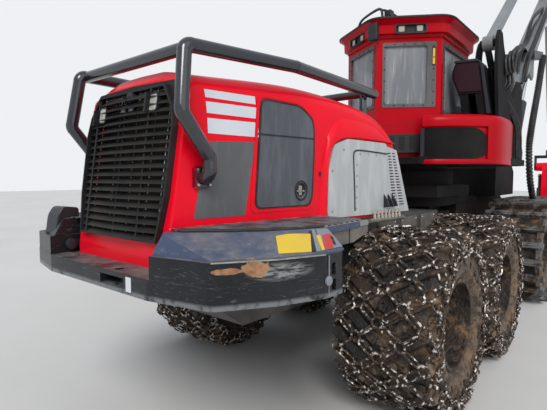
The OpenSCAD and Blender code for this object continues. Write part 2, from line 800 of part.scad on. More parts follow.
module rotator() {
    p = hang_pin;
    placed() color(dark) {
        translate([p[0], p[1], p[2] - 470]) cylinder(h = 169.7, r = 130);
        for (y = [-330, 300]) slab_y(crane_y + y, crane_y + y + 30) hull() {
            translate([p[0], p[2] - 440]) square([140, 60], center = true);
            translate([p[0], head_pin[2]]) circle(80, $fn = 32);
        }
        box([p[0] - 70, crane_y - 330, p[2] - 471], [p[0] + 70, crane_y + 330, p[2] - 411]);
        for (y = [-330, 245]) bar_y(p[0], head_pin[2], 40, crane_y + y, crane_y + y + 85);
    }
}

// Head frame of reference: the tilt pin, hanging with the saw down and the jaws forward
module at_head() { placed() translate([head_pin[0], crane_y, head_pin[2]]) children(); }

roller_at = [230, -215];
knife_at = [75, -225];

// A plate from the head's side out to a pin at p on the side s
module bracket(p, s, r) {
    polygon([[-20, s * 130], [p[0] - 60, -s * p[1] + s * r * 0.2], [p[0] - r * 0.7, -s * p[1] + s * r],
        [p[0] + r * 0.7, -s * p[1] + s * r], [p[0] + r, -s * p[1] - s * r * 0.3], [60, s * 130]]);
}

module head_frame() {
    at_head() color(red) {
        difference() {
            union() {
                slab_y(-170, 170) polygon([[-120, -60], [-60, 90], [60, 90], [90, -150], [40, -300],
                    [40, -1160], [330, -1160], [330, -1330], [-130, -1330], [-190, -1100], [-190, -450]]);
                bar_y(0, 0, 90, -290, 290);
                for (s = [-1, 1], z = [-830, -450]) slab_z(z, z + 20) bracket(roller_at, s, 35);
                for (s = [-1, 1], z = [-1110, -170]) slab_z(z, z + 20) bracket(knife_at, s, 40);
            }
            for (s = [-1, 1]) bar_y(0, 0, 40.3, s > 0 ? 230 : -300, s > 0 ? 300 : -230);
        }
        for (s = [-1, 1]) {
            translate([roller_at[0], s * roller_at[1], -830]) cylinder(h = 400, r = 25);
            translate([knife_at[0], s * knife_at[1], -1110]) cylinder(h = 960, r = 22);
        }
    }
}

module knife(z0) {
    difference() {
        union() {
            for (z = [z0, z0 - 780]) {
                translate([200, 0, z]) rotate([0, 0, -108]) rotate_extrude(angle = 114, $fn = 72)
                    translate([215, 0]) square([38, 22]);
                translate([knife_at[0], knife_at[1], z - 2]) cylinder(h = 26, r = 52);
            }
            translate([knife_at[0], knife_at[1], z0 - 760]) cylinder(h = 765, r = 40);
        }
        translate([knife_at[0], knife_at[1], z0 - 800]) cylinder(h = 850, r = 22.3);
    }
}

module knife_right() { at_head() color(steel) knife(-240); }
module knife_left() { at_head() color(steel) mirror([0, 1, 0]) knife(-205); }

module roller() {
    translate([roller_at[0], roller_at[1], -800]) difference() {
        union() {
            cylinder(h = 340, r = 88);
            for (i = [0 : 8]) rotate([0, 0, i * 40]) translate([80, -7, 0]) cube([18, 14, 340]);
        }
        translate([0, 0, -1]) cylinder(h = 400, r = 25.3);
    }
}

module roller_right() { at_head() color(steel) roller(); }
module roller_left() { at_head() color(steel) mirror([0, 1, 0]) roller(); }

rear_chassis();
rear_bumper();
hood_shell();
rear_grille();
engine_block();
hood_guard();
side_covers();
hood_arches();
rear_lamps();
rear_bogies();
side_door_right();
side_door_left();
tyre_right_1();
tyre_right_2();
tyre_left_1();
tyre_left_2();
rim_right_1();
rim_right_2();
rim_left_1();
rim_left_2();
chain_right_1();
chain_right_2();
chain_left_1();
chain_left_2();
front_chassis();
front_bogies();
front_tyres();
front_rims();
bogie_tracks();
front_tanks();
turret_deck();
turret_skirt();
cab_shell();
cab_roof();
roof_lamps();
cab_glass();
cab_seat();
crane_post();
cab_door();
main_boom();
parallel_link();
knuckle_link();
stick();
extension();
lift_barrel();
lift_rod();
fold_barrel();
fold_rod();
hanging_link();
rotator();
head_frame();
knife_right();
knife_left();
roller_right();
roller_left();
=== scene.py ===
import math
import random

import bmesh
import bpy
import numpy as np
from mathutils import Matrix, Vector
from mathutils.bvhtree import BVHTree


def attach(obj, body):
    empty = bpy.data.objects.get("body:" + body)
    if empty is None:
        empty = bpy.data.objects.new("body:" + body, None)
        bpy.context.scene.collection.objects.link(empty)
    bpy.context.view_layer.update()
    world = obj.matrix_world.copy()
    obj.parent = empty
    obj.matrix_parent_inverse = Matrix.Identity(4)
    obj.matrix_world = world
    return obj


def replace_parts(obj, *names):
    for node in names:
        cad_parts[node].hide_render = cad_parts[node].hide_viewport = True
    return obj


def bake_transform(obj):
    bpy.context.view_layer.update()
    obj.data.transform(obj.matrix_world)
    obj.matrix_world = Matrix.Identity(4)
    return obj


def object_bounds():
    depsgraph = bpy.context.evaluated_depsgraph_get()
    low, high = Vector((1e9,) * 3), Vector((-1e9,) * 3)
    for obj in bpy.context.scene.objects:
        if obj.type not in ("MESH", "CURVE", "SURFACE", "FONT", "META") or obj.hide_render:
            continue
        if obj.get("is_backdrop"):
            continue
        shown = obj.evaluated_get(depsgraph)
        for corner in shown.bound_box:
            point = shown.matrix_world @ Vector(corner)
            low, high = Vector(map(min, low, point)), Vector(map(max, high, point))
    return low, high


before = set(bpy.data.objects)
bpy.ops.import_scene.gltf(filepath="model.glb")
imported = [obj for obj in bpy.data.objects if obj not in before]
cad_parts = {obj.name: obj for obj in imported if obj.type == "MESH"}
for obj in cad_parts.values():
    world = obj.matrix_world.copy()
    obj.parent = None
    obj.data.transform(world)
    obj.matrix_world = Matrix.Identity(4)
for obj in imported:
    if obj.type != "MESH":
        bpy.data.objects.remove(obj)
CAD_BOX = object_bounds()
random.seed(7)

# Sizes, in millimetres from the tail unless said otherwise, as in the part's source
X_MID = 5085
SIDE_SLOPE = 0.135
FACE_SLOPE = 0.1474
TRACK_Y = 1125
AXLE_X = (2050, 3550)
CHAIN_Z = 706
CRANE_Y = -1050
RIGHT, LEFT = -1, 1
SIDES = ((RIGHT, "right"), (LEFT, "left"))


def at(x, y, z):
    """A point of the machine in millimetres, as metres in the frame."""
    return Vector(((x - X_MID) / 1000, y / 1000, z / 1000))


def side_y(x):
    """Half width of the hood at x."""
    return 520 + SIDE_SLOPE * (x - 350)


def on_hood(s):
    """Places (x, z, distance out) on the hood's side s."""
    n = math.hypot(1, SIDE_SLOPE)
    return lambda x, z, out: at(x - SIDE_SLOPE / n * out, s * (side_y(x) + out / n), z)


def on_face(y, z, out):
    """A point on the hood's leaning rear face, out towards the tail."""
    return at(150 + (z - 1420) * FACE_SLOPE - out, y, z)


def on_wall(p, q):
    """Places (distance from p, z, distance out) on an upright wall from p to q in plan, with out on its right."""
    a = Vector(p)
    d = (Vector(q) - a).normalized()
    return lambda u, z, out: at(a.x + d.x * u + d.y * out, a.y + d.y * u - d.x * out, z)


def on_y(y, s):
    """Places (x, z, distance out) on an upright plane at y that faces the side s."""
    return lambda x, z, out: at(x, y + s * out, z)


def raised(place, height):
    """The same places, moved out from their surface."""
    return lambda a, b, out: place(a, b, height + out)


# Materials

class Paint:
    """A node material built up from named steps around one Principled shader."""

    def __init__(self, name, rough=0.5, metal=0.0, coat=0.0, coat_rough=0.1, specular=0.5):
        self.material = bpy.data.materials.new(name)
        self.material.use_nodes = True
        self.tree = self.material.node_tree
        self.shader = self.tree.nodes["Principled BSDF"]
        for key, value in (("Roughness", rough), ("Metallic", metal), ("Coat Weight", coat),
                           ("Coat Roughness", coat_rough), ("Specular IOR Level", specular)):
            self.shader.inputs[key].default_value = value
        self.place = self.node("ShaderNodeTexCoord").outputs["Object"]

    def node(self, kind, inputs=None, **settings):
        """A new node with its settings, and with inputs that are values, colours or other nodes' outputs."""
        made = self.tree.nodes.new(kind)
        for key, value in settings.items():
            setattr(made, key, value)
        for key, value in (inputs or {}).items():
            self.put(made.inputs[key], value)
        return made

    def put(self, socket, value):
        if hasattr(value, "is_linked"):
            self.tree.links.new(value, socket)
        elif isinstance(value, tuple):
            socket.default_value = (*value, 1.0)[:len(socket.default_value)]
        else:
            socket.default_value = value

    def stretched(self, scale):
        return self.node("ShaderNodeMapping", {"Vector": self.place, "Scale": scale}).outputs["Vector"]

    def noise(self, scale, detail=4.0, rough=0.55, vector=None, distortion=0.0):
        made = self.node("ShaderNodeTexNoise", {"Scale": scale, "Detail": detail, "Roughness": rough,
                                                "Distortion": distortion, "Vector": vector or self.place})
        return made.outputs["Fac"]

    def cells(self, scale):
        return self.node("ShaderNodeTexVoronoi", {"Scale": scale, "Vector": self.place}).outputs["Distance"]

    def steps(self, value, low, high, out_low=0.0, out_high=1.0):
        """A value from low to high as one from out_low to out_high, kept between the two."""
        made = self.node("ShaderNodeMapRange", {"Value": value, "From Min": low, "From Max": high,
                                                "To Min": out_low, "To Max": out_high}, clamp=True)
        return made.outputs["Result"]

    def sums(self, kind, a, b):
        return self.node("ShaderNodeMath", {0: a, 1: b}, operation=kind).outputs[0]

    def times(self, a, b):
        return self.sums("MULTIPLY", a, b)

    def most(self, a, b):
        return self.sums("MAXIMUM", a, b)

    def plus(self, a, b):
        return self.sums("ADD", a, b)

    def axis(self, name):
        return self.node("ShaderNodeSeparateXYZ", {0: self.place}).outputs[name]

    def upward(self):
        """How far a surface faces up, 1 where it lies flat."""
        normal = self.node("ShaderNodeNewGeometry").outputs["Normal"]
        return self.node("ShaderNodeSeparateXYZ", {0: normal}).outputs["Z"]

    def near(self, centre, size):
        """1 at a point of the machine, falling to 0 at the given half sizes in metres."""
        within = self.node("ShaderNodeMapping", {"Vector": self.place, "Location": centre, "Scale": size},
                           vector_type="TEXTURE")
        length = self.node("ShaderNodeVectorMath", {0: within.outputs["Vector"]}, operation="LENGTH")
        return self.steps(length.outputs["Value"], 1.0, 0.0)

    def mix(self, amount, a, b):
        return self.node("ShaderNodeMix", {"Factor": amount, "A": a, "B": b}, data_type="RGBA").outputs["Result"]

    def bump(self, height, strength, distance):
        made = self.node("ShaderNodeBump", {"Strength": strength, "Distance": distance, "Height": height})
        self.put(self.shader.inputs["Normal"], made.outputs["Normal"])

    def done(self, colour, rough=None):
        self.put(self.shader.inputs["Base Color"], colour)
        if rough is not None:
            self.put(self.shader.inputs["Roughness"], rough)
        return self.material


DUST = (0.30, 0.24, 0.18)
MUD = (0.040, 0.027, 0.019)
DRY_MUD = (0.22, 0.155, 0.10)


def paint_material(name, colour, dark, rough, coat=0.0, dust=0.25, low=1.4, grime=0.35, shine=0.5):
    """Sprayed paint: a little variation, dust on what faces up and low down, and fine orange peel."""
    p = Paint(name, rough=rough, coat=coat, coat_rough=0.06, specular=shine)
    base = p.mix(p.steps(p.noise(1.7), 0.35, 0.65), colour, dark)
    speck = p.steps(p.noise(38, 6, 0.7), 0.52, 0.72)
    settled = p.steps(p.upward(), 0.55, 1.0, 0.0, dust)
    lower = p.steps(p.axis("Z"), low, low - 0.7, 0.0, grime)
    amount = p.times(p.most(settled, lower), p.steps(p.noise(7, 5, 0.65), 0.3, 0.62))
    amount = p.most(amount, p.times(speck, dust * 0.5))
    p.bump(p.noise(420, 2), 0.05, 0.001)
    return p.done(p.mix(amount, base, DUST), p.steps(amount, 0.0, 0.6, rough, min(rough + 0.4, 0.9)))


def bumper_material():
    """Black paint with pale scratches, a painted sky reflection that makes the right shoulder blue-grey and the left
    one near black, a rubbed lower edge and a rust patch at the right.
    """
    p = Paint("bumper_black", rough=0.35, coat=0.10, coat_rough=0.12, specular=0.3)
    base = p.mix(p.steps(p.noise(2.2), 0.35, 0.65), (0.006, 0.007, 0.009), (0.014, 0.016, 0.019))
    streak = p.steps(p.noise(9, 8, 0.75, p.stretched((1.0, 1.0, 9.0)), 0.6), 0.585, 0.70)
    fine = p.steps(p.noise(60, 3, 0.6, p.stretched((0.5, 0.5, 3.0))), 0.62, 0.75, 0.0, 0.5)
    below = p.steps(p.axis("Z"), 1.42, 1.36)
    marks = p.times(p.most(streak, fine), p.times(below, 0.55))
    edge = p.times(p.steps(p.axis("Z"), 1.212, 1.196), p.steps(p.noise(24, 4), 0.3, 0.5))
    base = p.mix(p.most(marks, p.times(edge, 0.6)), base, (0.27, 0.28, 0.29))
    smear = p.near(at(350, -1115, 1348), (0.22, 0.14, 0.050))
    broken = p.steps(p.noise(14, 6, 0.7, p.stretched((1, 1, 5))), 0.42, 0.56)
    smear = p.times(p.steps(smear, 0.0, 0.5), broken)
    base = p.mix(p.times(smear, 0.6), base, (0.40, 0.40, 0.40))
    facing = p.steps(p.upward(), 0.985, 0.97)
    shoulder = p.times(p.steps(p.axis("Z"), 1.405, 1.409), facing)
    # painted reflection: the sloping shoulder is painted sky blue on the right and near black on the left, and the
    # pale rub marks lie over this painted reflection
    sky = p.mix(p.steps(p.axis("Y"), 0.2, 0.4), (0.055, 0.075, 0.13), (0.020, 0.021, 0.023))
    rubbed = p.steps(p.noise(26, 6, 0.7, p.stretched((0.6, 0.6, 2))), 0.54, 0.72, 0.0, 0.3)
    rub = p.mix(rubbed, sky, (0.42, 0.41, 0.40))
    base = p.mix(shoulder, base, rub)
    patch = p.most(p.near(at(235, -1048, 1374), (0.110, 0.10, 0.060)),
                   p.near(at(125, -975, 1364), (0.14, 0.14, 0.020)))
    rust = p.steps(p.plus(patch, p.times(p.sums("SUBTRACT", p.noise(13, 6, 0.65), 0.5), 1.3)),
                   0.27, 0.33)
    tone = p.mix(p.steps(p.noise(30, 5), 0.35, 0.65), (0.40, 0.22, 0.12), (0.25, 0.11, 0.05))
    base = p.mix(rust, base, tone)
    settled = p.times(p.steps(p.upward(), 0.6, 1.0, 0.0, 0.8), p.steps(p.noise(5, 6, 0.7), 0.35, 0.6))
    base = p.mix(settled, base, (0.22, 0.20, 0.19))
    p.bump(p.plus(p.noise(75, 6, 0.7), p.times(rust, -0.6)), 0.25, 0.003)
    return p.done(base, p.steps(p.most(rust, settled), 0.0, 1.0, 0.33, 0.85))


def mud_material(name, bare, wet=0.5, walls=False):
    """Rubber or steel under mud: wet mud in the hollows, dried mud in patches, more of it on a wheel's walls."""
    p = Paint(name, rough=0.8)
    caked = p.steps(p.noise(5.5, 6, 0.65), 0.46 - wet * 0.1, 0.55)
    dried = p.steps(p.noise(9.0, 7, 0.7, distortion=0.4), 0.50, 0.64)
    if walls:
        side = p.steps(p.sums("ABSOLUTE", p.axis("Y"), 0.0), 1.38, 1.47)
        caked = p.most(caked, p.times(side, p.steps(p.noise(3.5, 5, 0.6), 0.25, 0.45)))
        dried = p.most(dried, p.times(side, p.steps(p.noise(13, 6, 0.7), 0.40, 0.58)))
    clods = p.plus(p.noise(28, 8, 0.7), p.times(p.cells(36), 0.5))
    tone = p.mix(p.steps(p.noise(60, 4), 0.4, 0.6), DRY_MUD, (0.16, 0.105, 0.065))
    rusty = p.steps(p.noise(2.6, 3), 0.52, 0.62)
    mud = p.mix(dried, MUD, p.mix(rusty, tone, (0.26, 0.15, 0.07)))
    p.bump(p.plus(clods, caked), 0.85, 0.014)
    return p.done(p.mix(caked, bare, mud), p.steps(p.noise(11, 4), 0.4, 0.6, 0.38, 0.92))


def chain_material():
    """Chain steel: brown with rust and mud, with pale spots on the wires that are partly rubbed steel and partly
    painted highlights.
    """
    p = Paint("chain_steel", rough=0.55, metal=0.35)
    # painted highlight: the near-white spots stand partly for rubbed steel and partly for glints on the wires
    bright = p.steps(p.noise(30, 4, 0.6), 0.53, 0.62)
    rust = p.mix(p.steps(p.noise(60, 5), 0.35, 0.65), (0.035, 0.023, 0.017), (0.115, 0.078, 0.055))
    p.bump(p.noise(160, 5, 0.7), 0.5, 0.003)
    return p.done(p.mix(bright, rust, (0.80, 0.74, 0.68)), p.steps(bright, 0.0, 1.0, 0.85, 0.38))


def metal_material(name, colour, rough, dirt):
    """Bare metal with brown stains."""
    p = Paint(name, rough=rough, metal=1.0)
    stain = p.steps(p.noise(9, 6, 0.7), 0.45, 0.65, 0.0, dirt)
    p.bump(p.noise(220, 3), 0.08, 0.001)
    return p.done(p.mix(stain, colour, (0.10, 0.075, 0.055)), p.steps(stain, 0.0, 1.0, rough, 0.8))


def rubber_material(name, colour, rough):
    """Rubber or woven cloth with dust in patches."""
    p = Paint(name, rough=rough)
    dust = p.steps(p.noise(12, 6, 0.7), 0.45, 0.75, 0.0, 0.35)
    p.bump(p.noise(240, 4), 0.2, 0.001)
    return p.done(p.mix(dust, colour, (0.17, 0.145, 0.12)), p.steps(dust, 0.0, 0.35, rough, 0.9))


def glass_material():
    """Scratched polycarbonate with the sky painted on it: a pale grey painted reflection in broad upright bands, and
    upright scratches painted near white as highlights, over a dim inside.
    """
    p = Paint("cab_pane", rough=0.08, specular=0.6)
    p.shader.inputs["Transmission Weight"].default_value = 0.45
    p.shader.inputs["IOR"].default_value = 1.35
    # painted reflection: broad upright bands and the pale grey base stand for the sky reflected in the pane
    broad = p.steps(p.noise(3.2, 3, 0.5, p.stretched((1.0, 1.0, 0.16))), 0.40, 0.62)
    # painted highlight: thin upright scratches painted near white as if they caught the light
    lines = p.steps(p.noise(22, 6, 0.65, p.stretched((1.0, 1.0, 0.10))), 0.50, 0.68)
    p.bump(p.noise(5, 2, 0.5, p.stretched((1.0, 1.0, 0.25))), 0.12, 0.01)
    painted_reflection = p.mix(broad, (0.34, 0.37, 0.39), (0.52, 0.54, 0.56))
    return p.done(p.mix(p.steps(lines, 0.0, 1.0, 0.0, 0.55), painted_reflection, (0.74, 0.75, 0.76)),
                  p.steps(lines, 0.0, 1.0, 0.06, 0.30))


def lens_material(name, colour):
    """A clear-coated lamp lens with small cells."""
    p = Paint(name, rough=0.12, coat=0.6)
    ribs = p.cells(90)
    p.bump(ribs, 0.25, 0.002)
    return p.done(p.mix(p.steps(ribs, 0.0, 0.6), colour, tuple(c * 0.7 for c in colour)))


def grip_material():
    """Dark tread plate with dirt between its studs."""
    p = Paint("tread_plate", rough=0.6, metal=0.3)
    ribs = p.node("ShaderNodeTexWave", {"Scale": 8, "Vector": p.stretched((1.0, 1.35, 0.0))}, wave_type="BANDS",
                  bands_direction="DIAGONAL")
    studs = p.steps(ribs.outputs["Fac"], 0.45, 0.65)
    p.bump(studs, 0.9, 0.006)
    worn = p.mix(p.steps(p.noise(9, 5), 0.40, 0.60), (0.12, 0.125, 0.135), (0.38, 0.39, 0.42))
    base = p.mix(studs, (0.012, 0.012, 0.013), worn)
    dirt = p.mix(p.steps(p.noise(60, 4), 0.4, 0.6), (0.12, 0.09, 0.06), (0.26, 0.20, 0.13))
    return p.done(p.mix(p.steps(p.noise(17, 6, 0.7), 0.60, 0.68), base, dirt))


def sheet_material(name, colour, scuff):
    """Unpainted or matt sheet with soft upright rub marks."""
    p = Paint(name, rough=0.42)
    rub = p.steps(p.noise(14, 6, 0.65, p.stretched((1.0, 1.0, 0.18))), 0.46, 0.7, 0.0, scuff)
    pits = p.steps(p.noise(70, 4, 0.6), 0.66, 0.76, 0.0, 0.35)
    p.bump(p.noise(300, 2), 0.05, 0.001)
    marked = p.mix(rub, colour, tuple(min(1.0, c * 1.9 + 0.05) for c in colour))
    return p.done(p.mix(pits, marked, tuple(c * 0.35 for c in colour)), p.steps(rub, 0.0, 1.0, 0.36, 0.6))


RED = paint_material("red_gloss", (0.94, 0.002, 0.020), (0.82, 0.002, 0.016), 0.28, coat=0.06, dust=0.02, low=1.5,
                     grime=0.06, shine=0.20)
RED_CAB = paint_material("cab_red", (0.50, 0.001, 0.009), (0.42, 0.001, 0.007), 0.30, coat=0.03, dust=0.01, low=1.0,
                         grime=0.05, shine=0.12)
BLACK = paint_material("black_satin", (0.018, 0.020, 0.024), (0.028, 0.030, 0.034), 0.38, coat=0.12, dust=0.14,
                       shine=0.35)
FRAME_GREY = paint_material("frame_grey", (0.105, 0.110, 0.110), (0.065, 0.068, 0.068), 0.55, dust=0.8, low=1.9,
                            grime=0.75)
PALE = paint_material("crane_grey", (0.25, 0.275, 0.285), (0.19, 0.21, 0.22), 0.38, coat=0.1, dust=0.3)
COVER = sheet_material("cover_grey", (0.44, 0.455, 0.45), 0.25)
DOOR = sheet_material("door_dark", (0.080, 0.088, 0.100), 0.45)
PANEL = sheet_material("panel_dark", (0.105, 0.105, 0.108), 0.22)
GRILLE = paint_material("grille_black", (0.010, 0.010, 0.011), (0.020, 0.019, 0.018), 0.5, dust=0.12, low=1.62,
                        grime=0.18, shine=0.3)
NIGHT = paint_material("under_black", (0.007, 0.007, 0.008), (0.018, 0.017, 0.016), 0.7, dust=0.06, low=1.45,
                       grime=0.5, shine=0.12)
BUMPER = bumper_material()
TYRE = mud_material("muddy_rubber", (0.015, 0.013, 0.012), 0.3, walls=True)
UNDER = mud_material("muddy_steel", (0.020, 0.018, 0.016), 1.2)
SHOE = mud_material("muddy_shoes", (0.16, 0.155, 0.15), 0.1)
CLOD = mud_material("mud_clods", MUD, 1.0)
CHAIN = chain_material()
CHROME = metal_material("chrome", (0.75, 0.76, 0.78), 0.12, 0.1)
BOLT = metal_material("bolt_steel", (0.50, 0.49, 0.47), 0.35, 0.6)
ENGINE = metal_material("engine_grey", (0.10, 0.10, 0.10), 0.55, 0.7)
HOSE = rubber_material("hose_rubber", (0.014, 0.014, 0.015), 0.42)
SEAL = rubber_material("seal_rubber", (0.010, 0.010, 0.010), 0.6)
CLOTH = rubber_material("seat_weave", (0.030, 0.030, 0.034), 0.85)
PANE = glass_material()
GRIP = grip_material()
GUARD_BLACK = paint_material("guard_black", (0.012, 0.014, 0.019), (0.020, 0.022, 0.028), 0.20, coat=0.7, dust=0.06,
                             low=1.2, grime=0.05, shine=0.6)
CHASSIS_GREY = paint_material("chassis_grey", (0.080, 0.084, 0.085), (0.050, 0.052, 0.052), 0.6, dust=0.12, low=1.3)
SHOULDER = paint_material("shoulder_grey", (0.23, 0.25, 0.28), (0.18, 0.21, 0.26), 0.35, coat=0.2, dust=0.25)
EDGE_GREY = paint_material("edge_grey", (0.30, 0.30, 0.30), (0.22, 0.22, 0.22), 0.5, dust=0.5)
WHITE = paint_material("white_stripe", (0.74, 0.77, 0.80), (0.66, 0.69, 0.73), 0.3, dust=0.1, low=1.2)
YELLOW = paint_material("yellow_plate", (0.80, 0.56, 0.02), (0.70, 0.46, 0.02), 0.35, dust=0.3, low=1.2)
PLATE_RED = paint_material("red_plate", (0.62, 0.035, 0.04), (0.5, 0.03, 0.03), 0.35, dust=0.3, low=1.2)
MAROON = paint_material("maroon_panel", (0.030, 0.004, 0.010), (0.020, 0.003, 0.007), 0.4, dust=0.05, shine=0.3)
LAMP = lens_material("lamp_lens", (0.62, 0.64, 0.66))
LAMP_WARM = lens_material("lamp_reflector", (0.58, 0.56, 0.48))
LEAF = paint_material("leaf_litter", (0.35, 0.22, 0.12), (0.22, 0.12, 0.06), 0.8, dust=0.4)

WHEELS = [f"{side}_{n}" for _, side in SIDES for n in (1, 2)]
NODE_LOOKS = (
    (CHASSIS_GREY, ["rear_chassis"]), (BUMPER, ["rear_bumper"]), (RED, ["hood_shell", "hood_arches", "head_frame"]),
    (GRILLE, ["rear_grille"]), (COVER, ["side_covers"]), (DOOR, ["side_door_right", "side_door_left"]),
    (RED_CAB, ["turret_skirt", "cab_shell", "cab_roof", "cab_door"]), (PANE, ["cab_glass"]), (CLOTH, ["cab_seat"]),
    (NIGHT, ["front_chassis", "front_tanks", "turret_deck", "crane_post"]), (CHROME, ["lift_rod", "fold_rod"]),
    (BLACK, ["hood_guard", "lift_barrel", "fold_barrel", "hanging_link", "rotator"]), (SHOE, ["bogie_tracks"]),
    (PALE, ["main_boom", "parallel_link", "knuckle_link", "stick", "extension"]), (LAMP, ["rear_lamps"]),
    (ENGINE, ["engine_block", "knife_right", "knife_left", "roller_right", "roller_left"]),
    (UNDER, ["rear_bogies", "front_bogies", "front_rims", *(f"rim_{wheel}" for wheel in WHEELS)]),
    (TYRE, ["front_tyres", *(f"tyre_{wheel}" for wheel in WHEELS)]), (LAMP_WARM, ["roof_lamps"]),
    (CHAIN, [f"chain_{wheel}" for wheel in WHEELS]),
)
node_look = {node: look for look, nodes in NODE_LOOKS for node in nodes}

for name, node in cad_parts.items():
    node.data.materials.clear()
    node.data.materials.append(node_look[name])
    node.data.set_sharp_from_angle(angle=math.radians(35))


# Mesh helpers

def piece(name, verts, faces, look, body, smooth=True, bevel=0.0, slot="black_paint"):
    """A new mesh piece that rides on a body, or on none when no body is given. Sizes in metres."""
    mesh = bpy.data.meshes.new(name)
    mesh.from_pydata([tuple(v) for v in verts], [], faces)
    mesh.validate()
    solid = bmesh.new()
    solid.from_mesh(mesh)
    bmesh.ops.recalc_face_normals(solid, faces=solid.faces)
    solid.to_mesh(mesh)
    solid.free()
    if smooth:
        mesh.shade_smooth()
        mesh.set_sharp_from_angle(angle=math.radians(38))
    mesh.materials.append(look)
    made = bpy.data.objects.new(name, mesh)
    bpy.context.scene.collection.objects.link(made)
    if bevel:
        soft = made.modifiers.new("bevel", "BEVEL")
        soft.width = bevel
        soft.segments = 2
        soft.limit_method = "ANGLE"
        soft.angle_limit = math.radians(40)
    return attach(made, body) if body else made


def band_faces(rows, n, ring=False, loop=False):
    """Quads between rows of n points, also from a row's end to its start (ring) or last row to first (loop)."""
    return [(k * n + i, k * n + (i + 1) % n, (k + 1) % rows * n + (i + 1) % n, (k + 1) % rows * n + i)
            for k in range(rows if loop else rows - 1) for i in range(n if ring else n - 1)]


def loft_faces(rows, n):
    """Faces of a solid through rows of n points around it, with both ends closed."""
    return band_faces(rows, n, ring=True) + [tuple(range(n - 1, -1, -1)), tuple(range((rows - 1) * n, rows * n))]


def sweep_faces(rows, n):
    """Faces of a solid whose rows of n points run along it, with both ends closed."""
    return band_faces(rows, n, loop=True) + [tuple(k * n + end for k in range(rows)) for end in (0, n - 1)]


def flat_list(rows):
    """The points of all rows, one after another."""
    return [v for row in rows for v in row]


def rounded(outline, radius, steps=5):
    """An outline with its corners rounded by arcs of about the given radius."""
    points = []
    count = len(outline)
    for i, corner in enumerate(outline):
        c = Vector(corner)
        before = Vector(outline[i - 1]) - c
        after = Vector(outline[(i + 1) % count]) - c
        reach = min(radius, before.length * 0.45, after.length * 0.45)
        a = c + before.normalized() * reach
        b = c + after.normalized() * reach
        for k in range(steps + 1):
            t = k / steps
            points.append(tuple(a * (1 - t) ** 2 + c * 2 * t * (1 - t) + b * t ** 2))
    return points


def prism_data(outline, place, t0, t1):
    """Vertices and faces of an outline drawn from depth t0 to t1 by place(a, b, t), with ends closed."""
    n = len(outline)
    verts = [place(a, b, t) for t in (t0, t1) for a, b in outline]
    return verts, [tuple(range(n)), tuple(range(2 * n - 1, n - 1, -1)), *band_faces(2, n, ring=True)]


def plate(name, outline, place, t0, t1, look, body, bevel=0.0, slot="black_paint"):
    return piece(name, *prism_data(outline, place, t0, t1), look, body, bevel=bevel, slot=slot)


def frame_strip(name, outer, inner, place, t0, t1, look, body, slot="black_paint"):
    """A closed band between two outlines with as many points each."""
    verts = [place(a, b, t) for ring, t in ((outer, t0), (outer, t1), (inner, t1), (inner, t0)) for a, b in ring]
    return piece(name, verts, band_faces(4, len(outer), ring=True, loop=True), look, body, slot=slot)


def box_outline(a0, b0, a1, b1):
    return [(a0, b0), (a1, b0), (a1, b1), (a0, b1)]


def soft_box(a0, b0, a1, b1, radius):
    return rounded(box_outline(a0, b0, a1, b1), radius)


def box_about(a, b, half_a, half_b, radius):
    """A rounded box by its middle and its half sides."""
    return soft_box(a - half_a, b - half_b, a + half_a, b + half_b, radius)


def smooth_path(points, steps=8):
    """Points on a Catmull-Rom curve through the given ones."""
    p = [Vector(q) for q in points]
    p = [2 * p[0] - p[1], *p, 2 * p[-1] - p[-2]]
    path = []
    for i in range(1, len(p) - 2):
        for k in range(steps):
            t = k / steps
            path.append(0.5 * (2 * p[i] + (p[i + 1] - p[i - 1]) * t
                               + (2 * p[i - 1] - 5 * p[i] + 4 * p[i + 1] - p[i + 2]) * t ** 2
                               + (3 * p[i] - p[i - 1] - 3 * p[i + 1] + p[i + 2]) * t ** 3))
    path.append(p[-2])
    return path


def tube_data(path, radius, sides=8, closed=False):
    """Vertices and faces of a tube along a path; radius may be a number or one per point."""
    count = len(path)
    verts = []
    across = None
    for i, point in enumerate(path):
        ahead = path[(i + 1) % count] if closed or i + 1 < count else point
        behind = path[i - 1] if closed or i else point
        along = (ahead - behind).normalized()
        if across is None:
            across = along.orthogonal().normalized()
        across = (across - along * across.dot(along)).normalized()
        other = along.cross(across)
        r = radius[i] if isinstance(radius, (list, tuple)) else radius
        for k in range(sides):
            turn = 2 * math.pi * k / sides
            verts.append(point + (across * math.cos(turn) + other * math.sin(turn)) * r)
    return verts, band_faces(count, sides, ring=True, loop=True) if closed else loft_faces(count, sides)


def rod(name, path, radius, sides, look, body, slot="black_paint"):
    return piece(name, *tube_data(path, radius, sides), look, body, slot=slot)


def tube(name, points, radius, look, body, steps=8):
    """A round tube on a smooth way through points in machine millimetres, radius in metres."""
    return rod(name, smooth_path([at(*p) for p in points], steps), radius, 8, look, body)


def joined(name, parts, look, body, slot="black_paint", bevel=0.0):
    """One piece from many (vertices, faces) parts."""
    verts = []
    faces = []
    for part_verts, part_faces in parts:
        base = len(verts)
        verts.extend(part_verts)
        faces.extend(tuple(base + i for i in face) for face in part_faces)
    return piece(name, verts, faces, look, body, slot=slot, bevel=bevel)


def bolt_data(place, a, b, radius, height, sides=6):
    """A bolt head that stands on a surface at (a, b), millimetres, with a shallow dome."""
    turns = [2 * math.pi * k / sides for k in range(sides)]
    verts = [place(a + r * math.cos(turn), b + r * math.sin(turn), t)
             for r, t in ((radius, 0.0), (radius, height * 0.7), (radius * 0.8, height)) for turn in turns]
    return verts, [tuple(range(sides)), tuple(range(3 * sides - 1, 2 * sides - 1, -1)),
                   *band_faces(3, sides, ring=True)]


def bolts(name, spots, place, radius, height, body, look=BOLT, sides=6):
    return joined(name, [bolt_data(place, a, b, radius, height, sides) for a, b in spots], look, body,
                  slot="worn_steel")


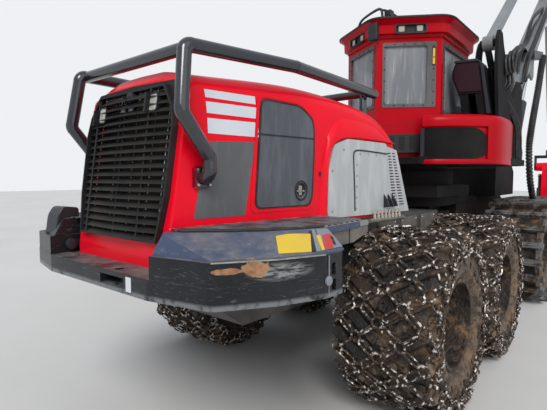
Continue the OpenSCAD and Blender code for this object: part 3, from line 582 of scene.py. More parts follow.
def faces_of(mesh):
    return [tuple(polygon.vertices) for polygon in mesh.polygons]


def copied(name, node, look, body, fuller=0.0):
    """A CAD node's own form as a piece, moved out by fuller along its normals, in metres."""
    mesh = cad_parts[node].data
    return piece(name, [v.co + v.normal * fuller for v in mesh.vertices], faces_of(mesh), look, body)


def cut(target, cutters):
    """Takes the cutters out of the target for good and removes them."""
    for cutter in cutters:
        change = target.modifiers.new("cut", "BOOLEAN")
        change.operation = "DIFFERENCE"
        change.solver = "EXACT"
        change.object = cutter
    bpy.context.view_layer.update()
    solid = bpy.data.meshes.new_from_object(target.evaluated_get(bpy.context.evaluated_depsgraph_get()))
    target.modifiers.clear()
    old = target.data
    target.data = solid
    bpy.data.meshes.remove(old)
    for cutter in cutters:
        bpy.data.objects.remove(cutter)
    solid.shade_smooth()
    solid.set_sharp_from_angle(angle=math.radians(32))


# Hood

# x, lower edge, top, corner radius
HOOD_SECTIONS = ((150, 1290, 1420, 25), (290, 1290, 2370, 60), (345, 1300, 2430, 110), (1200, 1400, 2475, 130),
                 (1950, 1450, 2410, 150), (2250, 1470, 2290, 150), (2370, 1470, 2120, 120))
HOOD_SHEET = 20
HOOD_CROWN = 45


def hood_ring(x, z0, z1, r, d):
    """Half outline of the hood at x as (y, z), from its lower edge up over the corner to the middle, d inside."""
    hw = side_y(x) - d
    z1 = z1 - d
    z0 = z0 - 2 * d
    r = max(r - d / 2, 10)
    centre = (hw - r, z1 - HOOD_CROWN - r)
    if centre[1] < z0 + 20:
        centre = (hw - r, z0 + 20)
    # the side, the corner, the curve up to the crown and the middle
    points = [(hw, z0 + (centre[1] - z0) * k / 6) for k in range(7)]
    for k in range(1, 7):
        turn = math.radians(78) * k / 6
        points.append((centre[0] + r * math.cos(turn), centre[1] + r * math.sin(turn)))
    edge = points[-1]
    flat = (hw * 0.42, z1)
    for k in range(1, 5):
        t = k / 4
        mid = ((edge[0] + flat[0]) / 2, (edge[1] + flat[1]) / 2 + 8)
        points.append(tuple(edge[i] * (1 - t) ** 2 + 2 * t * (1 - t) * mid[i] + flat[i] * t * t for i in (0, 1)))
    points.append((0, z1 + 4))
    return points


def hood_solid(name, d):
    """The hood as one solid, d millimetres inside its outer form."""
    loft = smooth_path([Vector(s) for s in HOOD_SECTIONS[2:]], 7)
    rows = []
    for x, z0, z1, r in [*HOOD_SECTIONS[:3], *loft[1:]]:
        half = hood_ring(x, z0, z1, r, d)
        x += d if x < 300 else -d if x > 2300 else 0
        rows.append([at(x, -y, z) for y, z in half] + [at(x, y, z) for y, z in reversed(half[:-1])])
    return piece(name, flat_list(rows), loft_faces(len(rows), len(rows[0])), RED, "rear_frame", slot="red_paint")


# Side door in x and z, grille in y and z
DOOR_OUTLINE = rounded(((754, 1600), (1250, 1600), (1285, 1660), (1302, 1960), (1302, 2140), (1285, 2210),
                        (1161, 2290), (806, 2300)), 50)
GRILLE_OUTLINE = [(-420, 1440), (420, 1440), (460, 1700), (468, 2080), (440, 2200), (350, 2330),
                  (-350, 2330), (-440, 2200), (-468, 2080), (-460, 1700)]


def make_hood():
    """The hood's sheet, open below, with the grille's opening and the two side doors cut out."""
    hood = hood_solid("hood", 0)
    inner = hood_solid("hood_inside", HOOD_SHEET)
    lower = plate("hood_cut_low", [(140, 1200), (140, 1290), (335, 1290), (335, 1520), (1340, 1520), (1380, 1475),
                                   (2500, 1475), (2500, 1200)], on_y(-2000, LEFT), 0, 4000, RED, "rear_frame")
    face = plate("hood_cut_face", GRILLE_OUTLINE, lambda y, z, t: at(t, y, z), -100, 400, RED, "rear_frame")
    doors = [plate(f"hood_cut_door_{s}", DOOR_OUTLINE, on_hood(s), -80, 80, RED, "rear_frame") for s, _ in SIDES]
    cut(hood, [inner, lower, face, *doors])
    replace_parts(hood, "hood_shell")


def make_stripes():
    """Three white stripes and the dark lower panel on each side."""
    # each stripe: x at the rear and the front of the upper edge, then of the lower edge, and their heights
    stripes = ((389, 758, 397, 764, 2297, 2253), (400, 770, 407, 777, 2230, 2166), (409, 783, 413, 791, 2138, 2052))
    for s, _ in SIDES:
        for i, (a0, a1, b0, b1, top, low) in enumerate(stripes):
            plate(f"stripe_{i}_{s + 1}", [(a0, top), (a1, top + 4), (b1, low), (b0, low)], on_hood(s), -2, 2,
                  WHITE, "rear_frame")
        plate(f"lower_panel_{s + 1}", rounded([(400, 2006), (762, 2020), (677, 1566), (312, 1566)], 8), on_hood(s),
              -2, 2.5, PANEL, "rear_frame", slot="grey_paint")


def make_arch():
    """The raised red rim that leads over each grey cover."""
    outer = [(1352, 1522), (1378, 1800), (1420, 2010), (1474, 2150), (1573, 2228), (1697, 2243), (1850, 2236),
             (2025, 2209), (2170, 2160), (2285, 2105)]
    inner = [(1412, 1522), (1424, 1800), (1440, 1950), (1475, 2030), (1560, 2085), (1690, 2104), (1850, 2106),
             (2025, 2102), (2170, 2096), (2285, 2085)]
    # share of the way from the outer to the inner line, distance out
    profile = ((0.0, -6), (0.0, 1), (0.25, 14), (0.55, 26), (0.9, 32), (1.0, 30), (1.0, -6))
    pairs = list(zip(*[smooth_path([Vector((*p, 0)) for p in line], 5) for line in (outer, inner)]))
    parts = []
    for s, _ in SIDES:
        place = on_hood(s)
        verts = [place(a.x + (b.x - a.x) * share, a.y + (b.y - a.y) * share, out)
                 for share, out in profile for a, b in pairs]
        parts.append((verts, sweep_faces(len(profile), len(pairs))))
    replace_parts(joined("hood_arch", parts, RED, "rear_frame", slot="red_paint"), "hood_arches")


COVER_OUT = 30


def shrunk(outline, share_a, share_b):
    """An outline drawn in towards its middle."""
    a = sum(p[0] for p in outline) / len(outline)
    b = sum(p[1] for p in outline) / len(outline)
    return [(a + (x - a) * share_a, b + (z - b) * share_b) for x, z in outline]


def ellipse(a, b, ra, rb, count=24):
    return [(a + ra * math.cos(t), b + rb * math.sin(t)) for t in np.linspace(0, 2 * math.pi, count + 1)[:-1]]


def make_side_door_details():
    """Seal, split line, finger hole with its latch, and the red surround of each side door."""
    inner = shrunk(DOOR_OUTLINE, 0.965, 0.975)
    border = shrunk(DOOR_OUTLINE, 1.09, 1.062), shrunk(DOOR_OUTLINE, 1.025, 1.018)
    hole = 1170, 1710
    for s, side in SIDES:
        body = f"side_door_{side}"
        place = on_hood(s)
        frame_strip(f"door_seal_{side}", DOOR_OUTLINE, inner, place, -3, 6, SEAL, body)
        frame_strip(f"door_surround_{side}", *border, place, -2, 5, RED, "rear_frame", slot="red_paint")
        plate(f"door_split_{side}", box_outline(776, 2068, 1296, 2078), place, 0, 5, SEAL, body)
        frame_strip(f"door_hole_rim_{side}", ellipse(*hole, 62, 70), ellipse(*hole, 52, 60), place, 0, 7, SEAL, body)
        plate(f"door_hole_{side}", ellipse(*hole, 58, 66), place, -16, -6, SEAL, body)
        plate(f"door_latch_{side}", soft_box(1152, 1676, 1182, 1744, 6), place, -7, 0, BOLT, body, 0.002)
        plate(f"door_latch_bar_{side}", soft_box(1130, 1700, 1206, 1714, 5), place, -6, 3, BOLT, body,
              0.002)
        plate(f"hood_hole_{side}", ellipse(1366, 1825, 13, 20, 16), place, -2, 2, SEAL, "rear_frame")


def make_cover_details():
    """Seal line, rivets and the dark back of the vent on the grey covers."""
    seal = ((1742, 1541), (1735, 1700), (1722, 1880), (1718, 1975), (1732, 2002), (1780, 2012), (1900, 2010),
            (2180, 1998))
    spots = [(1762, 1560 + 85 * k) for k in range(5)] + [(1800 + 110 * k, 1985) for k in range(4)]
    spots += [(1470, 1550), (1470, 1850), (1600, 2010)]
    for s, side in SIDES:
        place = on_hood(s)
        path = smooth_path([place(x, z, COVER_OUT + 1) for x, z in seal], 6)
        rod(f"cover_seal_{side}", path, 0.006, 6, SEAL, "rear_frame")
        plate(f"vent_back_{side}", [(2184, 1502), (2184, 2050), (2290, 2020), (2362, 1700), (2362, 1502)], place, -1.0,
              0.2, SEAL, "rear_frame")
        bolts(f"cover_rivets_{side}", spots, raised(place, COVER_OUT), 8, 4, "rear_frame", sides=8)


# y and z of the lens's middle, half width, half height
REAR_LAMPS = ((-264, 2233, 38, 46), (286, 2203, 34, 44))
LAMP_RIM = 8
LEAVES = 90


def make_grille_details():
    """Upright wires, the finer mesh at the top, work lamps, camera, number-plate lamp and leaf litter."""
    wires = []
    for y in (325, 130, -65, -250, -380):
        top = 2320 - max(0, abs(y) - 350) * 1.5
        wires.append(tube_data([on_face(y, 1446, -2), on_face(y * 1.02, 1880, 2), on_face(y, top, -2)], 0.0035, 5))
    for y in range(-368, 400, 32):
        top = 2318 - max(0, abs(y) - 350) * 1.5
        wires.append(tube_data([on_face(y, 2185, -6), on_face(y, top, -6)], 0.0022, 4))
    for z in (2195, 2218, 2241, 2264, 2287, 2308):
        half = 428 - max(0, z - 2180) * 0.6
        wires.append(tube_data([on_face(-half, z, -6), on_face(half, z, -6)], 0.0022, 4))
    joined("grille_wires", wires, BOLT, "rear_frame")
    lenses = []
    for i, (y, z, w, h) in enumerate(REAR_LAMPS):
        outer, inner = box_about(y, z, w + LAMP_RIM, h + LAMP_RIM, 26), box_about(y, z, w, h, 20)
        frame_strip(f"rear_lamp_rim_{i}", outer, inner, on_face, -20, 40, BLACK, "rear_frame")
        lenses.append(prism_data(inner, on_face, -20, 38))
    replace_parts(joined("rear_lamp_lenses", lenses, LAMP_WARM, "rear_frame", slot="lamp_body"), "rear_lamps")
    barrel = [on_face(-16, 2286, t) for t in (-20, 30, 42, 43)]
    rod("rear_camera_rim", barrel, [0.034, 0.034, 0.030, 0.014], 18, BLACK, "rear_frame")
    rod("rear_camera_lens", [on_face(-16, 2286, t) for t in (42, 46)], 0.013, 12, SEAL, "rear_frame")
    plate("plate_lamp", soft_box(-26, 2206, 100, 2244, 6), on_face, 2, 22, LAMP, "rear_frame", 0.003)
    plate("plate_lamp_base", soft_box(-36, 2198, 110, 2252, 6), on_face, -8, 12, BLACK, "rear_frame")
    plate("grille_brow", [(-462, 2196), (-455, 2288), (-400, 2350), (0, 2364), (400, 2350), (455, 2288), (462, 2196),
                          (440, 2200), (350, 2330), (-350, 2330), (-440, 2200)], on_face, 0.5, 7, GRILLE, "rear_frame")
    plate("grille_shade", shrunk(GRILLE_OUTLINE, 0.97, 0.98), on_face, -92, -84, SEAL, "rear_frame")
    leaves = []
    for _ in range(LEAVES):
        y = random.uniform(-420, 420)
        z = random.choice((1458, 1504, 1550)) + random.uniform(-3, 3)  # on the lowest slats
        size = random.uniform(8, 22)
        turn = random.uniform(0, math.pi)
        leaf = [on_face(y + size * math.cos(turn + a), z + size * 0.22 * math.sin(turn + a), -14 - 9 * math.cos(a))
                for a in np.linspace(0, 2 * math.pi, 7)[:-1]]
        top = on_face(y, z + 7, -16)
        leaves.append(([*leaf, top], [(k, (k + 1) % 6, 6) for k in range(6)] + [tuple(range(5, -1, -1))]))
    joined("grille_leaves", leaves, LEAF, "rear_frame")


GUARD_EXTRA = 0.009
FOOT_PLATE_OUT = 26


def make_guard_details():
    """The guard's tubes, a little fuller than the solid, and the bolts on its foot plates."""
    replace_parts(copied("guard_tubes", "hood_guard", GUARD_BLACK, "rear_frame", GUARD_EXTRA), "hood_guard")
    for s, _ in SIDES:
        bolts(f"guard_bolts_{s + 1}", [(329, 1758), (403, 1758), (329, 1842), (403, 1842)],
              raised(on_hood(s), FOOT_PLATE_OUT), 10, 10, "rear_frame")


# Bumper and rear frame

# walls of the bumper in plan, from the tail around its right corner
FLANK_WALL = ((60, -935), (330, -1110))
CORNER_WALL = ((330, -1110), (590, -1215))
END_WALL = ((590, -1215), (790, -1225))
STEP_SIDE = 1052
FRAME_SIDE = 551
NIPPLE_OUT = 62


def on_cad(node):
    """Drops points given in plan on to a CAD node, with a lift."""
    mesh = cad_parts[node].data
    tree = BVHTree.FromPolygons([v.co for v in mesh.vertices], faces_of(mesh))

    def drop(x, y, lift):
        hit, normal, _, _ = tree.ray_cast(at(x, y, 2400), Vector((0, 0, -1)))
        return hit + normal * lift / 1000
    return drop


def draped(drop, name, corners, lift, look, cells):
    """A thin plate over the bumper's shoulder, between four corners in plan."""
    a, b, c, d = (Vector(corner) for corner in corners)
    nu, nv = cells
    verts = []
    for top in (0.2, lift):
        for j in range(nv + 1):
            for i in range(nu + 1):
                p = a.lerp(b, i / nu).lerp(d.lerp(c, i / nu), j / nv)
                verts.append(drop(p.x, p.y, top))
    row, sheet = nu + 1, (nu + 1) * (nv + 1)
    faces = [tuple(sheet + i for i in face) for face in band_faces(nv + 1, row)]
    edge = [*range(nu), *(j * row + nu for j in range(nv)), *(nv * row + i for i in range(nu, 0, -1)),
            *(j * row for j in range(nv, 0, -1))]
    faces += [(i, j, sheet + j, sheet + i) for i, j in zip(edge, edge[1:] + edge[:1])]
    return piece(name, verts, faces, look, "rear_frame", smooth=False)


def make_bumper_details():
    """Reflector, blank plates, key box with its slot, end piece, step sides and the left tail lamp."""
    rear = on_wall((-20, 0), (-20, -545))
    end = on_wall(*END_WALL)
    plate("tow_reflector", soft_box(356, 1196, 406, 1276, 3), rear, 0, 1.5, WHITE, "rear_frame")
    plate("tow_reflector_base", soft_box(350, 1190, 412, 1282, 4), rear, -1, 0.8, BLACK, "rear_frame")
    bolts("end_bolt", [(20, 1270)], end, 26, 14, "rear_frame", SHOULDER, sides=14)
    plate("end_edge", box_outline(20, 1190, 28, 1402), end, -1, 4, BOLT, "rear_frame")
    drop = on_cad("rear_bumper")
    # name, corners in plan, thickness, look, cells along and across
    for row in (("blank_yellow", ((378, -1076), (545, -1156), (645, -1078), (460, -990)), 3, YELLOW, (8, 4)),
                # painted shadow: a black strip for the gap beside the key box and the shade that falls in it
                ("shoulder_gap_shadow", ((546, -1158), (566, -1168), (672, -1066), (650, -1062)), 2, SEAL, (8, 4)),
                ("shoulder_seam", ((570, -1170), (596, -1180), (700, -1066), (676, -1064)), 4, SHOULDER, (8, 4)),
                ("key_plate", ((600, -1184), (782, -1194), (782, -1100), (706, -1072)), 5, SHOULDER, (8, 4)),
                ("blank_yellow_small", ((601, -1181), (620, -1184), (688, -1110), (662, -1102)), 7, YELLOW, (3, 4)),
                ("blank_red", ((624, -1183), (700, -1188), (768, -1126), (698, -1118)), 7, PLATE_RED, (8, 4)),
                ("key_slot", ((722, -1176), (742, -1178), (764, -1138), (744, -1136)), 7, SEAL, (2, 3))):
        draped(drop, *row)
    for s, side in SIDES:
        wall = on_y(s * STEP_SIDE, s)
        plate(f"step_side_{side}", [(786, 1392), (1150, 1392), (1338, 1440), (1338, 1486), (786, 1486)], wall, -10, 8,
              FRAME_GREY, "rear_frame", 0.002)
        plate(f"step_side_edge_{side}", box_outline(786, 1486, 1338, 1521), wall, -6, 12, EDGE_GREY,
              "rear_frame", 0.002)
        plate(f"step_side_seam_{side}", box_outline(1090, 1392, 1098, 1486), wall, 6, 11, SEAL, "rear_frame")
    rod("tail_lamp", [at(114, y, 1348) for y in (552, 520, 516)], [0.038, 0.038, 0.026], 20, BLACK, "rear_frame")
    plate("tail_housing", rounded([(40, 1405), (210, 1405), (210, 1590), (100, 1600), (60, 1540)], 24),
          on_y(690, LEFT), -80, 80, BLACK, "rear_frame", 0.006)
    bands = [prism_data(box_outline(0, 1404, math.dist(*wall), 1411), on_wall(*wall), -4, 0.5)
             for wall in (FLANK_WALL, CORNER_WALL)]
    joined("band_edge", bands, BOLT, "rear_frame")


STEP_EDGE = ((70, 534), (130, 640), (330, 846), (560, 1004), (785, 1080), (1300, 1052), (1338, 1000))
STEP_TOP = 1526


def make_step():
    """Tread plates beside the hood, out to the edge of the shoulder, with a rounded black edge bar."""
    stations = np.linspace(152, 1336, 30)
    low = STEP_TOP - 5.5
    for s, _ in SIDES:
        verts = []
        for x in stations:
            inner = side_y(max(x, 345)) + 3 - max(0, 300 - x) * 0.1
            outer = np.interp(x, *zip(*STEP_EDGE)) - 14
            verts += [at(x, s * y, z) for y, z in ((inner, low), (outer, low), (outer, STEP_TOP), (inner, STEP_TOP))]
        piece(f"step_tread_{s + 1}", verts, loft_faces(len(stations), 4), GRIP, "rear_frame")
        edge = smooth_path([at(x, s * (y - 8), STEP_TOP) for x, y in STEP_EDGE[1:-2]], 6)
        rod(f"step_edge_{s + 1}", edge, 0.009, 8, SEAL, "rear_frame")


def make_ledge_fittings():
    """Grease nipples on their bar and three cooling fins, in front of the right cover."""
    place = on_hood(RIGHT)
    for i in range(8):
        nipple = [place(1965 + 52 * i, z, NIPPLE_OUT) for z in (1452, 1490, 1494, 1535)]
        rod(f"grease_nipple_{i}", nipple, [0.013, 0.013, 0.009, 0.008], 10, LAMP_WARM, "rear_frame")
    for i in range(3):
        x = 2135 + 60 * i
        plate(f"side_fin_{i}", [(30, 1545), (88, 1560), (74, 1600), (30, 1660)],
              lambda t, z, w, x=x: place(x + w, z, t), 0, 12, BLACK, "rear_frame", 0.002)
    rod("nipple_bar", [place(x, 1450, NIPPLE_OUT) for x in (1900, 2400)], 0.018, 8, FRAME_GREY, "rear_frame")


def make_frame_details():
    """Covers with their bolts on the rear frame's sides, and the hoses over the steering joint."""
    for s, _ in SIDES:
        wall = on_y(s * FRAME_SIDE, s)
        for i, x in enumerate((2500, 3050, 3600)):
            plate(f"frame_cover_{i}_{s + 1}", soft_box(x, 1130, x + 420, 1380, 18), wall, -1, 7, FRAME_GREY,
                  "rear_frame", 0.003)
            spots = [(x + u, z) for z in (1160, 1350) for u in (30, 390)]
            bolts(f"frame_cover_bolts_{i}_{s + 1}", spots, raised(wall, 6), 10, 8, "rear_frame")
    for i, (y, z) in enumerate(((-240, 1440), (-180, 1452), (-120, 1440), (140, 1445), (200, 1450))):
        points = [(2450, y, z - 25), (3000, y + 20, z), (3700, y * 0.9, z - 6), (4100, y * 0.8, z - 15)]
        tube(f"joint_hose_{i}", points, 0.018, HOSE, "rear_frame")


# Wheels

def link_path(length, width, bend):
    """Middle line of a chain link lying flat: a stadium, bowed a little upwards."""
    r = width / 2
    half = length / 2 - r
    points = []
    for centre, start in ((half, -90), (-half, 90)):
        for k in range(5):
            turn = math.radians(start + 45 * k)
            points.append((centre + r * math.cos(turn), r * math.sin(turn)))
    return [Vector((a, b, -bend * (a / (length / 2)) ** 2)) for a, b in points]


def spoke(turn):
    """The way out from an axle at an angle, and the way around it there."""
    out = Vector((math.cos(turn), 0, math.sin(turn)))
    return out, Vector((-out.z, 0, out.x))


def ring_path(radius, count=12):
    return [Vector((radius * math.cos(2 * math.pi * k / count), radius * math.sin(2 * math.pi * k / count), 0))
            for k in range(count)]


LINK = tube_data(link_path(0.125, 0.046, 0.004), 0.0082, 5, closed=True)
SHORT_LINK = tube_data(link_path(0.088, 0.044, 0.0), 0.0076, 5, closed=True)
RING = tube_data(ring_path(0.038), 0.0085, 5, closed=True)
STUD = tube_data([Vector((0, 0, -0.006)), Vector((0, 0, 0.007)), Vector((0, 0, 0.011))], [0.011, 0.011, 0.006], 6)


def placed_part(part, origin, along, up, roll=0.0):
    """A template part moved so that its X runs along and its Z points up, turned by roll around X."""
    x = along.normalized()
    z = (up - x * up.dot(x)).normalized()
    turned = Matrix((x, z.cross(x), z)).transposed().to_4x4() @ Matrix.Rotation(roll, 4, "X")
    matrix = Matrix.Translation(origin) @ turned
    return [matrix @ v for v in part[0]], part[1]


def wheel_of(s, n):
    """Middle of a rear wheel, and the body that it turns with."""
    return at(AXLE_X[n], s * TRACK_Y, CHAIN_Z), f"wheel_{'right' if s < 0 else 'left'}_{n + 1}"


# distance from the tyre's middle and radius of each row of rings, the outer rows on the walls
CHAIN_ROWS = ((-0.362, 0.590), (-0.315, 0.684), (-0.16, 0.692), (0.0, 0.692), (0.16, 0.692), (0.315, 0.684),
              (0.362, 0.590))
CHAIN_STEPS = 18
LONG_GAP = 0.17
SIDE_LINKS = 40
SIDE_CHAIN_Y, SIDE_CHAIN_R = 0.368, 0.545


def make_chain(name, s, n):
    """A ring chain: seven rows of rings with studs, links between them, and a side chain on each wall."""
    middle, wheel = wheel_of(s, n)

    def spot(row, step):
        y, r = CHAIN_ROWS[row]
        out, around = spoke(2 * math.pi * (step + 0.5 * (row % 2)) / CHAIN_STEPS)
        return middle + Vector((r * out.x, y, r * out.z)), out, around

    parts = []
    for row in range(len(CHAIN_ROWS)):
        wall = row in (0, len(CHAIN_ROWS) - 1)
        for step in range(CHAIN_STEPS):
            centre, out, around = spot(row, step)
            normal = Vector((0, 1 if row else -1, 0)) if wall else out
            jitter = Vector([random.uniform(-1, 1) for _ in range(3)]) * 0.004
            parts.append(placed_part(RING, centre + jitter, around, normal, random.uniform(-0.25, 0.25)))
            if not wall:
                for side in (-1, 1):
                    parts.append(placed_part(STUD, centre + jitter + around * 0.036 * side, around, out))
            if row + 1 < len(CHAIN_ROWS):
                for near in ((step, step - 1) if row % 2 == 0 else (step, step + 1)):
                    other, out_b, _ = spot(row + 1, near)
                    gap = other - centre
                    roll = random.uniform(-0.5, 0.5) + math.pi / 2 * (near % 2)
                    parts.append(placed_part(LINK if gap.length > LONG_GAP else SHORT_LINK,
                                             (centre + other) / 2 + (out + out_b) * 0.002, gap, out + out_b, roll))
    for side in (-1, 1):
        normal, hub = Vector((0, side, 0)), middle + Vector((0, side * SIDE_CHAIN_Y, 0))
        for k in range(SIDE_LINKS):
            out, around = spoke(2 * math.pi * k / SIDE_LINKS)
            roll = math.radians(15 + 75 * (k % 2))
            parts.append(placed_part(SHORT_LINK, hub + out * SIDE_CHAIN_R, around, normal, roll))
            if k % 2 == 0:
                parts.append(placed_part(SHORT_LINK, hub + out * (SIDE_CHAIN_R + 0.03), out, normal, 0.7))
    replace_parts(joined(f"link_{name}", parts, CHAIN, wheel, slot="worn_steel"), name)


def lump(centre, out, across, size):
    """An uneven flattened lump that sits with its flat side on a surface."""
    shape = bmesh.new()
    bmesh.ops.create_icosphere(shape, subdivisions=1, radius=1.0)
    side = out.cross(across)
    verts = [centre + (out * v.co.z * 0.6 + across * v.co.x * 1.2 + side * v.co.y) * size * random.uniform(0.7, 1.3)
             for v in shape.verts]
    faces = [tuple(p.index for p in f.verts) for f in shape.faces]
    shape.free()
    return verts, faces


CLODS = 460


def make_clods(s, n):
    """Lumps of mud between the lugs, on the chain and on both walls of a wheel."""
    middle, wheel = wheel_of(s, n)
    parts = []
    for i in range(CLODS):
        radial, around = spoke(random.uniform(0, 2 * math.pi))
        size = random.uniform(0.009, 0.030)
        if i % 2:
            place = middle + radial * random.uniform(0.650, 0.686) + Vector((0, random.uniform(-0.29, 0.29), 0))
            parts.append(lump(place, radial, around, size))
        else:
            side = s if random.random() < 0.75 else -s
            r = random.uniform(0.44, 0.645)
            y = 0.353 - 2.6 * max(0.0, r - 0.48) ** 2
            parts.append(lump(middle + radial * r + Vector((0, side * y, 0)), Vector((0, side, 0)), radial, size))
    joined(f"clods_{wheel}", parts, CLOD, wheel, slot="tread")


def make_rim_details(s, n):
    """The hub cap on the outer side of a wheel."""
    middle, wheel = wheel_of(s, n)
    path = [middle + Vector((0, s * d, 0)) for d in (0.16, 0.185, 0.19)]
    rod(f"hub_cap_{wheel}", path, [0.135, 0.13, 0.09], 28, UNDER, wheel, slot="rim_paint")


# Front frame

TRACK_AXLES = (6120, 7620)
TRACK_Z = 730
TRACK_RADIUS = 730
PITCH_RADIUS = 664
SHOES = 32
# sections of the shoe's outer bars and of the low rib between them: along the track, out
GROUSER = ((-0.034, -0.03), (0.034, -0.03), (0.030, 0.004), (-0.030, 0.004))
RIB = ((-0.012, -0.004), (0.012, -0.004), (0.006, 0.010), (-0.006, 0.010))


def on_track(s, share):
    """A place on a track's outside at a share of its loop, and the ways around and out there."""
    rear, front = TRACK_AXLES
    span, half = front - rear, math.pi * PITCH_RADIUS
    d = share * 2 * (span + half)
    if d < span:
        x, turn = rear + d, 90
    elif d < span + half:
        x, turn = front, 90 - (d - span) / half * 180
    elif d < 2 * span + half:
        x, turn = front - (d - span - half), -90
    else:
        x, turn = rear, -90 - (d - 2 * span - half) / half * 180
    out, back = spoke(math.radians(turn))
    return at(x, s * TRACK_Y, TRACK_Z) + out * (TRACK_RADIUS / 1000), -back, out


def make_track_details():
    """Outer grousers and a low rib on each shoe of the bogie tracks."""
    for s, _ in SIDES:
        parts = []
        for i in range(SHOES):
            base, around, out = on_track(s, i / SHOES)
            for section, middle, half in ((GROUSER, -0.36, 0.032), (GROUSER, 0.36, 0.032), (RIB, 0.0, 0.32)):
                parts.append(prism_data(section, lambda a, b, t: base + around * a + out * b + Vector((0, t, 0)),
                                        middle - half, middle + half))
        joined(f"grousers_{s + 1}", parts, SHOE, "front_frame", slot="worn_steel", bevel=0.003)


# Turret and cab

# the cab in plan, anticlockwise from the point at its rear
CAB = ((3560, 0), (3960, -620), (5000, -620), (5320, -330), (5320, 330), (5000, 620), (3960, 620))
REAR_WALLS = ((CAB[0], CAB[1]), (CAB[6], CAB[0]))
ROOF_LAMP_WALLS = (*REAR_WALLS, (CAB[3], CAB[4]))
ROOF_LAMP_Z = 3526
WINDOW_HEAD = 3380


def make_cab_details():
    """Grey window borders with their bolts, and the blank yellow strip on its pad."""
    # the wall's two corners and the height of its sill
    walls = ((CAB[0], CAB[1], 2640), (CAB[6], CAB[0], 2640), (CAB[1], CAB[2], 2560), (CAB[2], CAB[3], 2360),
             (CAB[3], CAB[4], 2300), (CAB[4], CAB[5], 2360))
    for i, (p, q, sill) in enumerate(walls):
        length = (Vector(q) - Vector(p)).length
        place = on_wall(p, q)
        outer = soft_box(62, sill - 8, length - 62, WINDOW_HEAD + 8, 20)
        inner = soft_box(94, sill + 34, length - (165 if i == 0 else 96), WINDOW_HEAD - 34, 16)
        frame_strip(f"window_border_{i}", outer, inner, place, 1, 7, FRAME_GREY, "turret", slot="grey_paint")
        if i == 0:
            plate("cab_blank", soft_box(636, 3130, 662, 3310, 4), place, 6, 9, YELLOW, "turret")
            plate("cab_blank_pad", soft_box(626, 3110, 672, 3330, 6), place, 5, 8, SEAL, "turret")
        count = max(3, int(length / 140))
        spots = [(u, sill + 40 + (WINDOW_HEAD - sill - 80) * k / 5) for u in (88, length - 88) for k in range(6)]
        spots += [(88 + (length - 176) * k / count, z) for k in range(1, count) for z in (sill + 14, WINDOW_HEAD - 14)]
        bolts(f"window_bolts_{i}", spots, raised(place, 6), 9, 6, "turret", SEAL, 8)


def grown(outline, d):
    """An outline in plan, anticlockwise, with its edges moved out by d and mitred."""
    out = []
    n = len(outline)
    for i, corner in enumerate(outline):
        c = Vector(corner)
        before = (c - Vector(outline[i - 1])).normalized()
        after = (Vector(outline[(i + 1) % n]) - c).normalized()
        normal = Vector((before.y + after.y, -before.x - after.x)).normalized()
        cosine = normal.dot(Vector((before.y, -before.x)))
        out.append(tuple(c + normal * d / cosine))
    return out


def around_cab(name, profile, look, slot="black_paint"):
    """A solid around the cab's axis. Each row: height, distance out from the cab's walls, corner radius."""
    rows = [[at(x, y, z) for x, y in rounded(grown(CAB, d), r, 7)] for z, d, r in profile]
    return piece(name, flat_list(rows), loft_faces(len(rows), len(rows[0])), look, "turret", slot=slot)


def make_roof_cap():
    """The red cap: it flares out from the cab's top to a dark edge, with a low crown."""
    cap = around_cab("roof_cap", ((3436, 4, 30), (3438, 18, 40), (3470, 24, 50), (3478, 68, 90), (3574, 72, 90),
                                  (3596, 92, 120), (3622, 126, 150), (3630, 132, 150)), RED_CAB, "red_paint")
    cutters = []
    for i, (p, q) in enumerate(ROOF_LAMP_WALLS):
        outline = soft_box(188, ROOF_LAMP_Z - 52, math.dist(p, q) - 188, ROOF_LAMP_Z + 52, 34)
        cutters.append(plate(f"roof_cut_{i}", outline, on_wall(p, q), 48, 160, RED_CAB, "turret"))
    cut(cap, cutters)
    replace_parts(cap, "cab_roof")
    around_cab("roof_edge", ((3628, 134, 150), (3630, 142, 150), (3646, 142, 150), (3656, 128, 150), (3664, 60, 140),
                             (3674, -120, 120), (3680, -330, 60)), GRILLE)


def make_roof():
    """The roof cap, its lamp recesses, rail and boxes."""
    make_roof_cap()
    for i, (p, q) in enumerate(ROOF_LAMP_WALLS):
        wall = on_wall(p, q)
        length = math.dist(p, q)
        outer = soft_box(184, ROOF_LAMP_Z - 56, length - 184, ROOF_LAMP_Z + 56, 36)
        inner = soft_box(204, ROOF_LAMP_Z - 42, length - 204, ROOF_LAMP_Z + 42, 26)
        frame_strip(f"roof_recess_{i}", outer, inner, wall, 47, 75, SEAL, "turret")
        plate(f"roof_recess_back_{i}", outer, wall, 44, 48.2, SEAL, "turret")
        for share in (36, 64):
            u = length * share / 100
            rim, hole = box_about(u, ROOF_LAMP_Z, 44, 42, 12), box_about(u, ROOF_LAMP_Z, 33, 31, 10)
            frame_strip(f"roof_lamp_rim_{i}_{share}", rim, hole, wall, 48, 66, SEAL, "turret")
    plate("corner_box", soft_box(3440, 3400, 3520, 3600, 14), on_y(-45, LEFT), 0, 110, BLACK, "turret",
          0.008)
    rail = [(3560, -60, 3680), (3560, -40, 3770), (3640, 80, 3806), (3860, 380, 3812), (3940, 480, 3690)]
    tube("roof_rail", rail, 0.016, BLACK, "turret")
    tube("roof_rail_cross", [(3575, -30, 3775), (3720, -60, 3790), (3990, -80, 3780)], 0.014, BLACK, "turret")
    for i, (x, y) in enumerate(((3640, -60), (3860, 180))):
        plate(f"roof_lamp_{i}", soft_box(x - 40, 3690, x + 60, 3768, 14), on_y(y, RIGHT), 0, 80, BLACK,
              "turret", 0.006)


SKIRT_PLAN = ((3668, -520), (3700, -680), (3850, -905), (4080, -1120), (4280, -1215), (4600, -1236), (4850, -1216),
              (4965, -1180), (5020, -1105))


